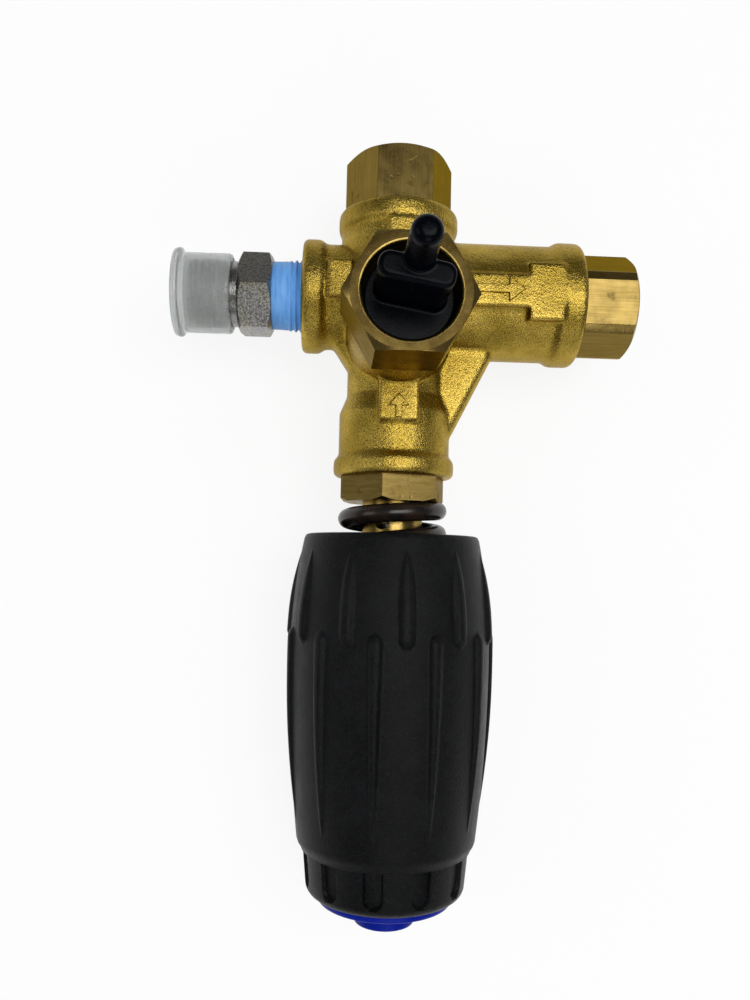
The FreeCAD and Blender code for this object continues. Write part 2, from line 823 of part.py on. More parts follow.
def make_port_fittings():
    """Inlet, outlet and bypass fittings, each with the O-ring on its neck."""
    port_radii = (size.port_wall_r, size.spigot_r, size.through_r)
    inlet_bar_r = size.hexagon_flats / math.sqrt(3)
    inlet_tip = size.inlet_face + size.socket_depth - size.spigot_end_gap
    hexagon_fitting(
        "inlet_fitting",
        UPRIGHT,
        (None, size.inlet_face, inlet_tip, size.port_depth),
        (size.hexagon_face_r, inlet_bar_r, size.hexagon_flats, None) + port_radii,
        size.inlet_turn,
    )
    hexagon_fitting(
        "outlet_fitting",
        OUTLET,
        (outlet_end, size.outlet_face, outlet_tip, size.port_depth),
        (size.hexagon_face_r, size.outlet_bar_r, size.hexagon_flats, size.port_mouth_r)
        + port_radii,
        size.outlet_turn,
        (size.check_pocket_r, size.check_pocket_depth),
    )
    bypass_tip = size.boss_face - size.bypass_socket_depth + size.spigot_end_gap
    bypass_bar_r = size.bypass_flats / math.sqrt(3)
    hexagon_fitting(
        "bypass_fitting",
        FRONT,
        (bypass_end, size.boss_face, bypass_tip, size.bypass_depth),
        (size.bypass_rim_r, bypass_bar_r, size.bypass_flats, size.bypass_mouth_r)
        + (size.bypass_wall_r, size.bypass_spigot_r, size.bypass_through_r),
        0,
    )
    half = seal_seat / 2
    seals = (
        ("inlet_o_ring", UPRIGHT, size.inlet_face + half, size.spigot_r),
        ("outlet_o_ring", OUTLET, size.outlet_face - half, size.spigot_r),
        ("bypass_o_ring", FRONT, size.boss_face - half, size.bypass_spigot_r),
        ("gland_o_ring", UPRIGHT, body_top - half, size.spigot_r),
    )
    for label, direction, distance, spigot_r in seals:
        seal_ring(label, direction, distance, seal_centre_r(spigot_r), size.seal_wire_r)


def grooved_ring(label, direction, low, high, outer_r, hole_r, seal_r, cone=None):
    """A valve seat ring with an O-ring groove round its middle, and the O-ring in it."""
    middle = (as_size(low) + high) / 2
    groove_r = outer_r - seal_r * 2 - size.seal_clearance
    half = seal_r + size.seal_clearance
    points = [
        (outer_r, low),
        (outer_r, middle - half),
        (groove_r, middle - half),
        (groove_r, middle + half),
        (outer_r, middle + half),
        (outer_r, high),
        (hole_r, high),
    ]
    if cone is None:
        points.append((hole_r, low))
    else:
        cone_r, cone_height = cone
        points.append((hole_r, low + cone_height))
        points.append((cone_r, low))
    turned_piece(label, points, direction)
    seal_ring(f"{label}_o_ring", direction, middle, outer_r - seal_r, seal_r)


def coil_spring(label, direction, low, high, coil_r, wire_r, turns, turn=0, closed=None):
    """A compression spring with ground ends, and closed end turns where a pitch is given."""
    body = doc.addObject("PartDesign::Body", f"{label}_wire")
    start = low + wire_r * 0.25
    finish = high - wire_r * 0.25
    runs = [(start, finish - start, turns)]
    if closed is not None:
        open_height = finish - start - closed * 2
        runs = [(start, closed, 1), (start + closed, open_height, turns)]
        runs.append((finish - closed, closed, 1))
    for number, (base, height, count) in enumerate(runs, start=1):
        sketch = circle(body, f"{label}_wire_{number}", wire_r, "XZ_Plane", (coil_r, base, 0))
        helix = body.newObject("PartDesign::AdditiveHelix", f"{label}_coils_{number}")
        helix.Profile = sketch
        for feature in body.Origin.OriginFeatures:
            if feature.Role == "Z_Axis":
                helix.ReferenceAxis = (feature, [""])
        helix.Mode = "height-turns-angle"
        set_size(helix, "Height", height)
        set_size(helix, "Turns", count)
    tube = doc.addObject("Part::Cylinder", f"{label}_ends")
    set_size(tube, "Radius", coil_r + wire_r * 2)
    set_size(tube, "Height", high - low)
    set_size(tube, ".Placement.Base.z", low)
    spring = doc.addObject("Part::Common", label)
    spring.Base = body
    spring.Tool = tube
    spring.Label = label
    stand(spring, direction, 0, turn)
    pieces.append(spring)
    return spring


def make_check_valve():
    """Seat ring, flat poppet with three flow flats, and its light spring."""
    outer_r = size.check_bore_r - size.screwed_clearance
    grooved_ring(
        "check_seat",
        OUTLET,
        size.check_seat_low,
        check_seat_top,
        outer_r,
        size.check_hole_r,
        size.small_seal_r,
    )
    head_r = size.check_bore_r - size.running_clearance
    head_top = check_seat_top + size.check_head_thickness
    head = [
        (0, check_seat_top),
        (head_r, check_seat_top),
        (head_r, head_top),
        (size.check_boss_r, head_top),
        (size.check_boss_r, head_top + size.check_boss_height),
        (0, head_top + size.check_boss_height),
    ]
    poppet = turned_piece("check_poppet", head, OUTLET)
    flat = [
        (size.check_flat, -head_r),
        (head_r * 1.2, -head_r),
        (head_r * 1.2, head_r),
        (size.check_flat, head_r),
    ]
    sketch = outline(poppet, "flow_flat_outline", flat, "XY_Plane", (0, 0, head_top))
    flow_flat = cut(poppet, "flow_flat", sketch, size.check_head_thickness)
    repeated(poppet, "flow_flats", [flow_flat], 3)
    coil_spring(
        "check_spring",
        OUTLET,
        check_spring_low,
        check_spring_high,
        size.check_coil_r,
        size.check_wire_r,
        size.check_turns,
    )


def make_bypass_plug():
    """Moulded transit plug: a shallow cup in the port with a grip paddle and a leaning pull pin."""
    plug_r = size.bypass_wall_r - size.running_clearance
    plug_low = plug_floor - size.plug_skirt
    paddle_top = plug_floor + size.paddle_height
    cup = [
        (0, plug_floor - size.plug_wall),
        (plug_r - size.plug_wall, plug_floor - size.plug_wall),
        (plug_r - size.plug_wall, plug_low),
        (plug_r - size.edge_rounding, plug_low),
        (plug_r, plug_low + size.edge_rounding),
        (plug_r, plug_floor),
        (0, plug_floor),
    ]
    body = turned_piece("bypass_plug", cup, FRONT, -size.paddle_turn)
    side, end = size.paddle_length / 2, size.paddle_thickness / 2
    inset = size.paddle_rounding * (1 - math.cos(math.radians(45)))
    corners = []
    for x_sign, y_sign in ((1, 1), (-1, 1), (-1, -1), (1, -1)):
        near_end = (side * x_sign, (end - size.paddle_rounding) * y_sign - size.paddle_offset)
        near_side = ((side - size.paddle_rounding) * x_sign, end * y_sign - size.paddle_offset)
        middle = ((side - inset) * x_sign, (end - inset) * y_sign - size.paddle_offset)
        if x_sign * y_sign > 0:
            corners += [near_end + middle, near_side]
        else:
            corners += [near_side + middle, near_end]
    sketch = outline(body, "paddle_outline", corners, "XY_Plane", (0, 0, plug_floor - size.plug_wall / 2))
    raised(body, "paddle", sketch, size.paddle_height + size.plug_wall / 2)
    top_edge = (0, end - size.paddle_offset, paddle_top)
    rounded(body, "paddle_top_edge", [top_edge], size.paddle_edge)
    root = paddle_top - size.pin_r
    lean = size.pin_length * tangent(size.pin_lean)
    pin = body.newObject("PartDesign::AdditiveLoft", "pin")
    pin.Profile = circle(
        body, "pin_root", size.pin_r, "XY_Plane", (0, -size.paddle_offset, root)
    )
    pin.Sections = [
        circle(
            body,
            "pin_tip",
            size.pin_tip_r,
            "XY_Plane",
            (0, -size.paddle_offset - lean, paddle_top + size.pin_length),
        )
    ]
    return body


def make_side_adapter():
    """Plated steel adapter, the sealant on its tapered thread, and its push-on cap."""
    tip = size.side_face - size.adapter_thread
    male_low = adapter_hexagon_high + size.adapter_neck
    bar_r = size.adapter_flats / math.sqrt(3)
    face_r = size.adapter_flats / 2 - size.adapter_face_step
    chamfer = (bar_r - face_r) * SLOPE
    points = [
        (size.adapter_bore_r, tip),
        (size.adapter_thread_r - size.edge_rounding, tip),
        (size.adapter_thread_r, tip + size.edge_rounding),
        (size.adapter_thread_r, adapter_hexagon_low),
        (face_r, adapter_hexagon_low),
        (bar_r, adapter_hexagon_low + chamfer),
        (bar_r, adapter_hexagon_high - chamfer),
        (face_r, adapter_hexagon_high),
        (size.adapter_neck_r, adapter_hexagon_high),
        (size.adapter_neck_r, male_low),
        (size.adapter_male_r, male_low + size.edge_rounding / 2),
        (size.adapter_male_r, adapter_end - size.edge_rounding),
        (size.adapter_male_r - size.edge_rounding, adapter_end),
        (size.adapter_bore_r * 1.5, adapter_end),
        (size.adapter_bore_r, adapter_end - size.adapter_bore_r / 2),
    ]
    body = turned_piece("side_adapter", points, SIDE)
    milled_hexagon(
        body,
        "side_adapter",
        size.adapter_flats,
        adapter_hexagon_low,
        adapter_hexagon_high,
        size.adapter_turn,
    )
    inner_r = size.adapter_thread_r + size.screwed_clearance
    sealant = [
        (inner_r, size.side_face),
        (size.sealant_r, size.side_face),
        (size.sealant_low_r, adapter_hexagon_low),
        (inner_r, adapter_hexagon_low),
    ]
    turned_piece("thread_sealant", sealant, SIDE)
    cap_low = adapter_end - size.cap_overlap
    cap_floor = adapter_end + size.cap_end_gap
    cap_end = cap_floor + size.cap_floor
    flange_low = cap_end - size.cap_flange
    cavity_r = size.adapter_male_r + size.running_clearance
    outer_r = cavity_r + size.cap_wall
    cap = [
        (cavity_r, cap_low),
        (outer_r - size.cap_rounding, cap_low, outer_r - size.cap_rounding * 0.293)
        + (cap_low + size.cap_rounding * 0.293,),
        (outer_r, cap_low + size.cap_rounding),
        (outer_r, flange_low),
        (size.cap_flange_r, flange_low),
        (size.cap_flange_r, cap_end - size.edge_rounding),
        (size.cap_flange_r - size.edge_rounding, cap_end),
        (0, cap_end),
        (0, cap_floor),
        (cavity_r, cap_floor),
    ]
    turned_piece("adapter_cap", cap, SIDE)


def make_gland():
    """Gland nut with its guide sleeve, and the stem seal and back-up ring inside it."""
    bar_r = size.hexagon_flats / math.sqrt(3)
    hexagon_top = body_top + size.gland_hexagon
    groove_r = stem_bore_r + size.stem_seal_r * 2
    groove_low = gland_tip + size.gland_groove_height
    groove_high = groove_low + size.stem_seal_r * 2 + size.back_up_height + 0.1
    points = [
        (stem_bore_r, gland_tip),
        (size.spigot_r - size.edge_rounding, gland_tip),
        (size.spigot_r, gland_tip + size.edge_rounding),
        (size.spigot_r, body_top - seal_seat),
        (neck_r(size.spigot_r), body_top - seal_seat),
        (neck_r(size.spigot_r), body_top),
        (bar_r, body_top),
        (bar_r, hexagon_top - (bar_r - size.gland_face_r) * SLOPE),
        (size.gland_face_r, hexagon_top),
        (size.sleeve_r, hexagon_top),
        (size.sleeve_r, hexagon_top + size.sleeve_length - size.edge_rounding),
        (size.sleeve_r - size.edge_rounding, hexagon_top + size.sleeve_length),
        (stem_bore_r, hexagon_top + size.sleeve_length),
        (stem_bore_r, groove_high),
        (groove_r, groove_high),
        (groove_r, groove_low),
        (stem_bore_r, groove_low),
    ]
    body = turned_piece("gland_nut", points, UPRIGHT, size.gland_turn)
    turn = size.gland_hexagon_turn
    milled_hexagon(body, "gland_nut", size.hexagon_flats, body_top, hexagon_top, turn)
    hole_height = hexagon_top + size.sleeve_hole_height
    hole = circle(body, "sleeve_hole", size.sleeve_hole_r, "XZ_Plane", (0, hole_height, 0))
    cut(body, "sleeve_cross_hole", hole, size.sleeve_r * 3, both_ways=True)
    seal_ring(
        "stem_seal",
        UPRIGHT,
        groove_low + size.stem_seal_r + size.seal_clearance,
        stem_bore_r + size.stem_seal_r,
        size.stem_seal_r - size.seal_clearance,
    )
    back_up = [
        (stem_bore_r, groove_high - size.back_up_height),
        (groove_r - size.seal_clearance, groove_high - size.back_up_height),
        (groove_r - size.seal_clearance, groove_high),
        (stem_bore_r, groove_high),
    ]
    turned_piece("stem_back_up_ring", back_up)


def make_stem():
    """Stem, the bypass poppet on its lower end, and the pilot piston with its seals."""
    collar_low = cylinder_low + size.stem_collar_gap
    collar_top = collar_low + size.stem_collar
    stem_end = knob_tail_end - size.stem_end_gap
    lock_nut_low = knob_web_high + size.lock_nut_gap
    poppet_low = seat_low - size.poppet_drop
    step = chamber_top - size.stem_step
    stem = [
        (0, stem_low),
        (size.stem_low_r, stem_low),
        (size.stem_low_r, step),
        (size.stem_r, step + size.stem_r - size.stem_low_r),
        (size.stem_r, collar_low),
        (size.stem_collar_r, collar_low),
        (size.stem_collar_r, collar_top),
        (size.stem_r, collar_top),
        (size.stem_r, stem_end - size.edge_rounding),
        (size.stem_r - size.edge_rounding, stem_end),
        (0, stem_end),
    ]
    turned_piece("valve_stem", stem)
    slope = (size.seat_cone_r - size.seat_hole_r) / size.seat_cone_height
    seat_r = size.seat_cone_r - size.valve_clearance
    poppet_bore_r = size.stem_low_r + size.screwed_clearance
    nose_r = size.stem_low_r + 0.6
    nose_rise = (seat_r - nose_r) / slope
    shoulder_drop = (size.poppet_r - seat_r) / slope
    poppet = [
        (0, poppet_low),
        (size.poppet_r - size.edge_rounding, poppet_low),
        (size.poppet_r, poppet_low + size.edge_rounding),
        (size.poppet_r, seat_low - shoulder_drop),
        (nose_r, seat_low + nose_rise),
        (poppet_bore_r, seat_low + nose_rise),
        (poppet_bore_r, stem_low - size.seal_clearance),
        (0, stem_low - size.seal_clearance),
    ]
    turned_piece("bypass_poppet", poppet)
    grooved_ring(
        "bypass_seat",
        UPRIGHT,
        seat_low,
        seat_top,
        size.seat_bore_r - size.screwed_clearance,
        size.seat_hole_r,
        size.small_seal_r,
        (size.seat_cone_r, size.seat_cone_height),
    )
    piston_r = size.cylinder_r - size.running_clearance
    groove_r = piston_r - size.piston_seal_r * 2
    groove_half = (size.piston_seal_r * 2 + size.piston_back_up + 0.1) / 2
    middle = collar_top + size.piston_height / 2
    piston = [
        (stem_bore_r, collar_top),
        (piston_r, collar_top),
        (piston_r, middle - groove_half),
        (groove_r, middle - groove_half),
        (groove_r, middle + groove_half),
        (piston_r, middle + groove_half),
        (piston_r, collar_top + size.piston_height),
        (stem_bore_r, collar_top + size.piston_height),
    ]
    turned_piece("pilot_piston", piston)
    seal_ring(
        "piston_o_ring",
        UPRIGHT,
        middle + groove_half - size.piston_seal_r,
        piston_r - size.piston_seal_r,
        size.piston_seal_r - size.seal_clearance,
    )
    back_up_low = middle - groove_half
    back_up = [
        (groove_r + size.seal_clearance, back_up_low),
        (piston_r - size.seal_clearance, back_up_low),
        (piston_r - size.seal_clearance, back_up_low + size.piston_back_up),
        (groove_r + size.seal_clearance, back_up_low + size.piston_back_up),
    ]
    turned_piece("piston_back_up_ring", back_up)
    nut = [
        (stem_bore_r, lock_nut_low),
        (size.lock_nut_flats / 2, lock_nut_low),
        (size.lock_nut_flats / math.sqrt(3), lock_nut_low + size.lock_nut_chamfer),
        (size.lock_nut_flats / math.sqrt(3), lock_nut_low + size.lock_nut_height - size.lock_nut_chamfer),
        (size.lock_nut_flats / 2, lock_nut_low + size.lock_nut_height),
        (stem_bore_r, lock_nut_low + size.lock_nut_height),
    ]
    lock_nut = turned_piece("lock_nut", nut)
    nut_top = lock_nut_low + size.lock_nut_height
    milled_hexagon(lock_nut, "lock_nut", size.lock_nut_flats, lock_nut_low, nut_top)


def make_adjusting_spring():
    """The heavy spring round the guide sleeve, and the plate that the knob presses on."""
    coil_spring(
        "adjusting_spring",
        UPRIGHT,
        spring_low,
        plate_low,
        size.spring_coil_r,
        size.spring_wire_r,
        size.spring_open_turns,
        size.spring_turn,
        size.spring_closed_pitch,
    )
    plate = [
        (stem_bore_r, plate_low - size.plate_hub_length),
        (size.plate_hub_r - size.edge_rounding, plate_low - size.plate_hub_length),
        (size.plate_hub_r, plate_low - size.plate_hub_length + size.edge_rounding),
        (size.plate_hub_r, plate_low),
        (size.plate_r, plate_low),
        (size.plate_r, insert_low),
        (stem_bore_r, insert_low),
    ]
    turned_piece("spring_plate", plate)


def make_knob():
    """Moulded knob with two staggered rows of grip ribs and a row of slots, open at both ends."""
    body = new_body("knob", turn=size.knob_turn)
    upper_middle = (knob_low + knob_belly) / 2
    upper_middle_r = (size.knob_mouth_r + size.knob_belly_r) / 2 + size.knob_lower_bulge
    lower_middle = (knob_belly + knob_skirt) / 2
    lower_middle_r = (size.knob_belly_r + size.knob_skirt_r) / 2 + size.knob_upper_bulge
    outside = [
        (size.knob_cavity_r, knob_low),
        (size.knob_mouth_r, knob_low, upper_middle_r, upper_middle),
        (size.knob_belly_r, knob_belly, lower_middle_r, lower_middle),
        (size.knob_skirt_r, knob_skirt),
        (size.knob_skirt_r - size.edge_rounding, knob_skirt_end),
        (size.knob_tail_r, knob_skirt_end),
        (size.knob_tail_end_r, knob_tail_end),
        (size.knob_pocket_r, knob_tail_end),
        (size.knob_pocket_r, knob_web_high),
        (size.insert_r, knob_web_high),
        (size.insert_r, knob_web_low),
        (size.knob_cavity_end_r, knob_web_low),
    ]
    turned(body, "knob_turned", outline(body, "knob_section", outside))
    rounded(body, "mouth_edge", [(size.knob_mouth_r, 0, knob_low)], size.edge_rounding)
    tail_edge = (size.knob_tail_end_r, 0, knob_tail_end)
    rounded(body, "tail_edge", [tail_edge], size.tail_rounding)
    skirt_edges = [
        (size.knob_skirt_r, 0, knob_skirt),
        (size.knob_skirt_r - size.edge_rounding, 0, knob_skirt_end),
    ]
    rounded(body, "skirt_edge", skirt_edges, size.edge_rounding)
    widest_r = size.knob_belly_r + size.rib_rise - size.rib_r
    short_widest = knob_belly - size.rib_r
    short_start = knob_low + size.rib_start
    short_middle = (short_start + short_widest) / 2
    short_start_r = size.knob_mouth_r + 0.5
    short_middle_r = (short_start_r + widest_r) / 2
    short_rib = [
        (widest_r, knob_belly),
        (short_start_r, short_start, short_middle_r + size.rib_r * 0.85, short_middle),
        (widest_r + size.rib_r, short_widest, widest_r + size.rib_r * 0.75)
        + (knob_belly - size.rib_r * 0.35,),
    ]
    short = turned(body, "short_rib", outline(body, "short_rib_section", short_rib), "Edge1")
    repeated(body, "short_ribs", [short], size.grip_count)
    long_start = knob_belly - size.rib_overlap
    long_widest = long_start + size.rib_r
    long_end = knob_skirt - size.rib_end
    long_middle = (long_widest + long_end) / 2
    long_end_r = size.knob_skirt_r - 0.3
    long_middle_r = (widest_r + long_end_r) / 2
    long_rib = [
        (-long_end_r, long_end),
        (-widest_r, long_start, -widest_r - size.rib_r * 0.75, long_start + size.rib_r * 0.35),
        (-widest_r - size.rib_r, long_widest, -long_middle_r - size.rib_r * 1.15, long_middle),
    ]
    long = turned(body, "long_rib", outline(body, "long_rib_section", long_rib), "Edge1")
    repeated(body, "long_ribs", [long], size.grip_count)
    slot_end = knob_tail_end - size.slot_end
    slot_centre = slot_end - size.slot_half
    slot_outline = [
        (-size.slot_half, knob_skirt_end),
        (size.slot_half, knob_skirt_end),
        (size.slot_half, slot_centre, 0, slot_end),
        (-size.slot_half, slot_centre),
    ]
    slot_floor = size.knob_tail_end_r - size.slot_depth
    slot_sketch = outline(body, "slot_outline", slot_outline, "YZ_Plane", (0, 0, -slot_floor))
    slot = cut(body, "slot", slot_sketch, size.slot_depth * 3)
    repeated(body, "slots", [slot], size.grip_count)
    make_knob_insert()
    make_knob_cap()


def make_knob_insert():
    """Threaded brass insert moulded into the knob's web, with a flange on the spring plate."""
    insert = [
        (stem_bore_r, insert_low),
        (size.insert_flange_r, insert_low),
        (size.insert_flange_r, knob_web_low),
        (size.insert_r, knob_web_low),
        (size.insert_r, knob_web_high),
        (stem_bore_r, knob_web_high),
    ]
    turned_piece("knob_insert", insert)


def make_knob_cap():
    """Snap-in cap that closes the knob, with a raised round button."""
    plug_r = size.knob_pocket_r - size.screwed_clearance
    rim_top = knob_tail_end + size.cap_rim
    button_top = rim_top + size.cap_button
    cap = [
        (0, knob_tail_end - size.cap_plug_floor),
        (plug_r - size.cap_plug_wall, knob_tail_end - size.cap_plug_floor),
        (plug_r - size.cap_plug_wall, knob_tail_end - size.cap_plug_length),
        (plug_r, knob_tail_end - size.cap_plug_length),
        (plug_r, knob_tail_end),
        (size.cap_rim_r, knob_tail_end),
        (size.cap_rim_r, rim_top - size.edge_rounding),
        (size.cap_rim_r - size.edge_rounding, rim_top),
        (size.cap_dome_r, rim_top + size.cap_dome),
        (size.cap_button_r, rim_top + size.cap_dome),
        (size.cap_button_r, button_top - size.edge_rounding),
        (size.cap_button_r - size.edge_rounding, button_top),
        (0, button_top),
    ]
    turned_piece("knob_cap", cap)


def check_and_write():
    """Stop on any failed object, then write each sub-part's own file."""
    doc.recompute()
    failed = [t.Label for t in doc.Objects if "Invalid" in t.State or "Error" in t.State]
    if failed:
        raise RuntimeError(f"These objects failed: {', '.join(failed)}")
    os.makedirs("parts", exist_ok=True)
    for piece in pieces:
        shape = piece.Shape
        if shape.isNull() or not shape.isValid() or not shape.Solids:
            raise RuntimeError(f"{piece.Label} has no valid solid")
    for piece in pieces:
        piece.Shape.exportStep(f"parts/{piece.Label}.step")
        box = piece.Shape.BoundBox
        print(
            f"{piece.Label}: {len(piece.Shape.Solids)} solid, {piece.Shape.Volume:.1f} mm3, "
            f"x {box.XMin:.2f} to {box.XMax:.2f}, y {box.YMin:.2f} to {box.YMax:.2f}, "
            f"z {box.ZMin:.2f} to {box.ZMax:.2f}"
        )


make_valve_body()
make_port_fittings()
make_check_valve()
make_bypass_plug()
make_side_adapter()
make_gland()
make_stem()
make_adjusting_spring()
make_knob()
check_and_write()
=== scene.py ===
"""Looks of a pressure washer unloader valve: forged brass body, screwed ports and a ribbed knob."""

import json
import logging
import math
from dataclasses import dataclass
from enum import Enum

import bmesh
import bpy
from mathutils import Euler, Matrix, Vector, noise

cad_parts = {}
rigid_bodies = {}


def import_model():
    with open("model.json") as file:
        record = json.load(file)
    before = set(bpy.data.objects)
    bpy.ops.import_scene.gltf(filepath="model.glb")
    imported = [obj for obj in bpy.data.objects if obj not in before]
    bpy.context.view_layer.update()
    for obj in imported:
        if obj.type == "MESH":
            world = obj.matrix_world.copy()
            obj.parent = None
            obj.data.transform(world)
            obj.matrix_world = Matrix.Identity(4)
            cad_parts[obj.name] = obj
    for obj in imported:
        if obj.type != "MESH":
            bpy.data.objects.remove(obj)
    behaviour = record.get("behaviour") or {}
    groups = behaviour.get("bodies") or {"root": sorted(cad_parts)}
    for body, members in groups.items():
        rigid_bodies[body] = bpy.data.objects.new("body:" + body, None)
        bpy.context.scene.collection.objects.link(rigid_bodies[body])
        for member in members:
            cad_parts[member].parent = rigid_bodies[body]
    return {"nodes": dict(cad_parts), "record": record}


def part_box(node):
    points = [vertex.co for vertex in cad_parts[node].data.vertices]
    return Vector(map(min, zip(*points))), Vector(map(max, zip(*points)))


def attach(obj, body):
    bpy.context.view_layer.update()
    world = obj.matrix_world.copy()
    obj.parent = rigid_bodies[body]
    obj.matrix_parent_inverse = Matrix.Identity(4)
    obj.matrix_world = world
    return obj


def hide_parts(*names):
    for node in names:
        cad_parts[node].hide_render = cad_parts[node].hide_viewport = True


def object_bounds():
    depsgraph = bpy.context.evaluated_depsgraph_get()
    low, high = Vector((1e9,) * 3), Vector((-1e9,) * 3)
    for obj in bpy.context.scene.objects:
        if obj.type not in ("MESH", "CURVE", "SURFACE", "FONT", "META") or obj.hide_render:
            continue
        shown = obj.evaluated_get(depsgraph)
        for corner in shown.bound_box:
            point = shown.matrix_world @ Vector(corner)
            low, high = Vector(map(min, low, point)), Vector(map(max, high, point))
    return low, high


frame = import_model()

MM = 0.001
TURN_STEPS = 144
CAD_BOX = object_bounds()

log = logging.getLogger("unloader_valve")

Section = list[tuple[float, float]]
Colour = tuple[float, float, float, float]
EDGE_TINT: Colour = (0.82, 0.75, 0.6, 1.0)


def node_span(node: str, axis: int) -> tuple[float, float]:
    """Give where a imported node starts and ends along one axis.

    Args:
        node: Name of the node.
        axis: 0, 1 or 2 for X, Y or Z.

    Returns:
        The lower and the upper end in millimetres.
    """
    low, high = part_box(node)
    return low[axis] / MM, high[axis] / MM


ARM_HEIGHT = sum(node_span("outlet_fitting", 2)) / 2
PORT_HEIGHT = sum(node_span("bypass_fitting", 2)) / 2


class Direction(Enum):
    """The way that a piece's own Z axis points in the valve."""

    UP = "up"
    OUTLET = "outlet"
    SIDE = "side"
    FRONT = "front"

    def matrix(self) -> Matrix:
        """Give the transform from a piece's own axes to the valve's."""
        if self is Direction.OUTLET:
            return Matrix.Translation((0, 0, ARM_HEIGHT * MM)) @ Matrix.Rotation(-math.pi / 2, 4, "Y")
        if self is Direction.SIDE:
            return Matrix.Translation((0, 0, ARM_HEIGHT * MM)) @ Matrix.Rotation(math.pi / 2, 4, "Y")
        if self is Direction.FRONT:
            return Matrix.Translation((0, 0, PORT_HEIGHT * MM)) @ Matrix.Rotation(math.pi / 2, 4, "X")
        return Matrix.Identity(4)


class Shader:
    """Lays out the nodes of one procedural material."""

    def __init__(self, name: str, **surface: object) -> None:
        """Start a material.

        Args:
            name: Name of the material.
            surface: Values of the surface shader's own sockets, with _ for a space.
        """
        self.material = bpy.data.materials.new(name)
        self.material.use_nodes = True
        self.nodes = self.material.node_tree.nodes
        self.links = self.material.node_tree.links
        self.surface = self.nodes["Principled BSDF"]
        for socket, value in surface.items():
            self.surface.inputs[socket.replace("_", " ")].default_value = value
        self.coordinates = self.nodes.new("ShaderNodeTexCoord").outputs["Object"]

    def add(self, kind: str, **settings: object) -> bpy.types.Node:
        """Add a node of one kind and give it its settings."""
        node = self.nodes.new(kind)
        for name, value in settings.items():
            setattr(node, name, value)
        return node

    def feed(self, node: bpy.types.Node, socket: str | int, value: object) -> None:
        """Link an output to a node's socket, or set the socket's own value."""
        if isinstance(value, bpy.types.NodeSocket):
            self.links.new(value, node.inputs[socket])
        else:
            node.inputs[socket].default_value = value

    def placed(self, direction: Direction, scale: tuple[float, float, float]) -> bpy.types.NodeSocket:
        """Give coordinates along a piece's own axes.

        Args:
            direction: The way that the piece's own Z axis points.
            scale: How many times the pattern repeats per metre along each own axis.

        Returns:
            The output that carries the scaled coordinates.
        """
        turn = direction.matrix().inverted()
        place = self.add("ShaderNodeMapping")
        self.feed(place, "Vector", self.coordinates)
        self.feed(place, "Location", turn.to_translation())
        self.feed(place, "Rotation", turn.to_euler())
        size = self.add("ShaderNodeMapping")
        self.feed(size, "Vector", place.outputs["Vector"])
        self.feed(size, "Scale", scale)
        return size.outputs["Vector"]

    def grain(
        self, vector: bpy.types.NodeSocket, scale: float, detail: float = 3.0, rough: float = 0.55
    ) -> bpy.types.NodeSocket:
        """Add a noise pattern and give its value output."""
        node = self.add("ShaderNodeTexNoise")
        self.feed(node, "Vector", vector)
        self.feed(node, "Scale", scale)
        self.feed(node, "Detail", detail)
        self.feed(node, "Roughness", rough)
        return node.outputs["Fac"]

    def spread(
        self, value: bpy.types.NodeSocket, low: float, high: float, start: float, end: float
    ) -> bpy.types.NodeSocket:
        """Map a value's range low to high onto start to end."""
        node = self.add("ShaderNodeMapRange")
        for socket, number in (("From Min", low), ("From Max", high), ("To Min", start), ("To Max", end)):
            self.feed(node, socket, number)
        self.feed(node, "Value", value)
        return node.outputs["Result"]

    def blend(
        self, factor: bpy.types.NodeSocket, first: object, second: object
    ) -> bpy.types.NodeSocket:
        """Mix two colours by a factor and give the result."""
        node = self.add("ShaderNodeMix", data_type="RGBA")
        self.feed(node, "Factor", factor)
        self.feed(node, 6, first)
        self.feed(node, 7, second)
        return node.outputs[2]

    def bump(
        self,
        height: bpy.types.NodeSocket,
        strength: float,
        depth: float,
        under: bpy.types.NodeSocket | None = None,
    ) -> bpy.types.NodeSocket:
        """Add a bump of a depth in millimetres, over another one if given."""
        node = self.add("ShaderNodeBump")
        self.feed(node, "Height", height)
        self.feed(node, "Strength", strength)
        self.feed(node, "Distance", depth * MM)
        if under is not None:
            self.feed(node, "Normal", under)
        return node.outputs["Normal"]


@dataclass(frozen=True)
class ForgedBrass:
    """Tumbled forging: fine bright grain and dark pits, with a painted golden glow in its hollows for light
    bounced between its faces.
    """

    bright: Colour = (0.52, 0.365, 0.072, 1.0)
    plain: Colour = (0.32, 0.22, 0.035, 1.0)
    # painted reflection: golden colour for the hollows, standing in for light bounced between the forging's
    # faces
    painted_hollow_glow: Colour = (0.36, 0.235, 0.022, 1.0)
    dull: Colour = (0.11, 0.07, 0.007, 1.0)

    def build(self) -> bpy.types.Material:
        """Make the material."""
        shader = Shader("forged_brass", Metallic=1.0, Specular_Tint=EDGE_TINT)
        grain = shader.grain(shader.coordinates, 2300, 3, 0.65)
        dents = shader.grain(shader.coordinates, 700, 2)
        mottle = shader.grain(shader.coordinates, 90, 3)
        colour = shader.blend(shader.spread(mottle, 0.38, 0.62, 0, 1), self.plain, self.bright)
        # Painted reflection: concave places, found by pointiness, get the golden hollow colour in place of
        # bounced light.
        relief = shader.add("ShaderNodeNewGeometry").outputs["Pointiness"]
        colour = shader.blend(shader.spread(relief, 0.44, 0.51, 1, 0), colour, self.painted_hollow_glow)
        pits = shader.spread(grain, 0.32, 0.44, 0.6, 0)
        shader.feed(shader.surface, "Base Color", shader.blend(pits, colour, self.dull))
        shader.feed(shader.surface, "Roughness", shader.spread(grain, 0.3, 0.7, 0.34, 0.15))
        low = shader.bump(dents, 0.7, 0.16)
        shader.feed(shader.surface, "Normal", shader.bump(grain, 1.0, 0.15, low))
        return shader.material


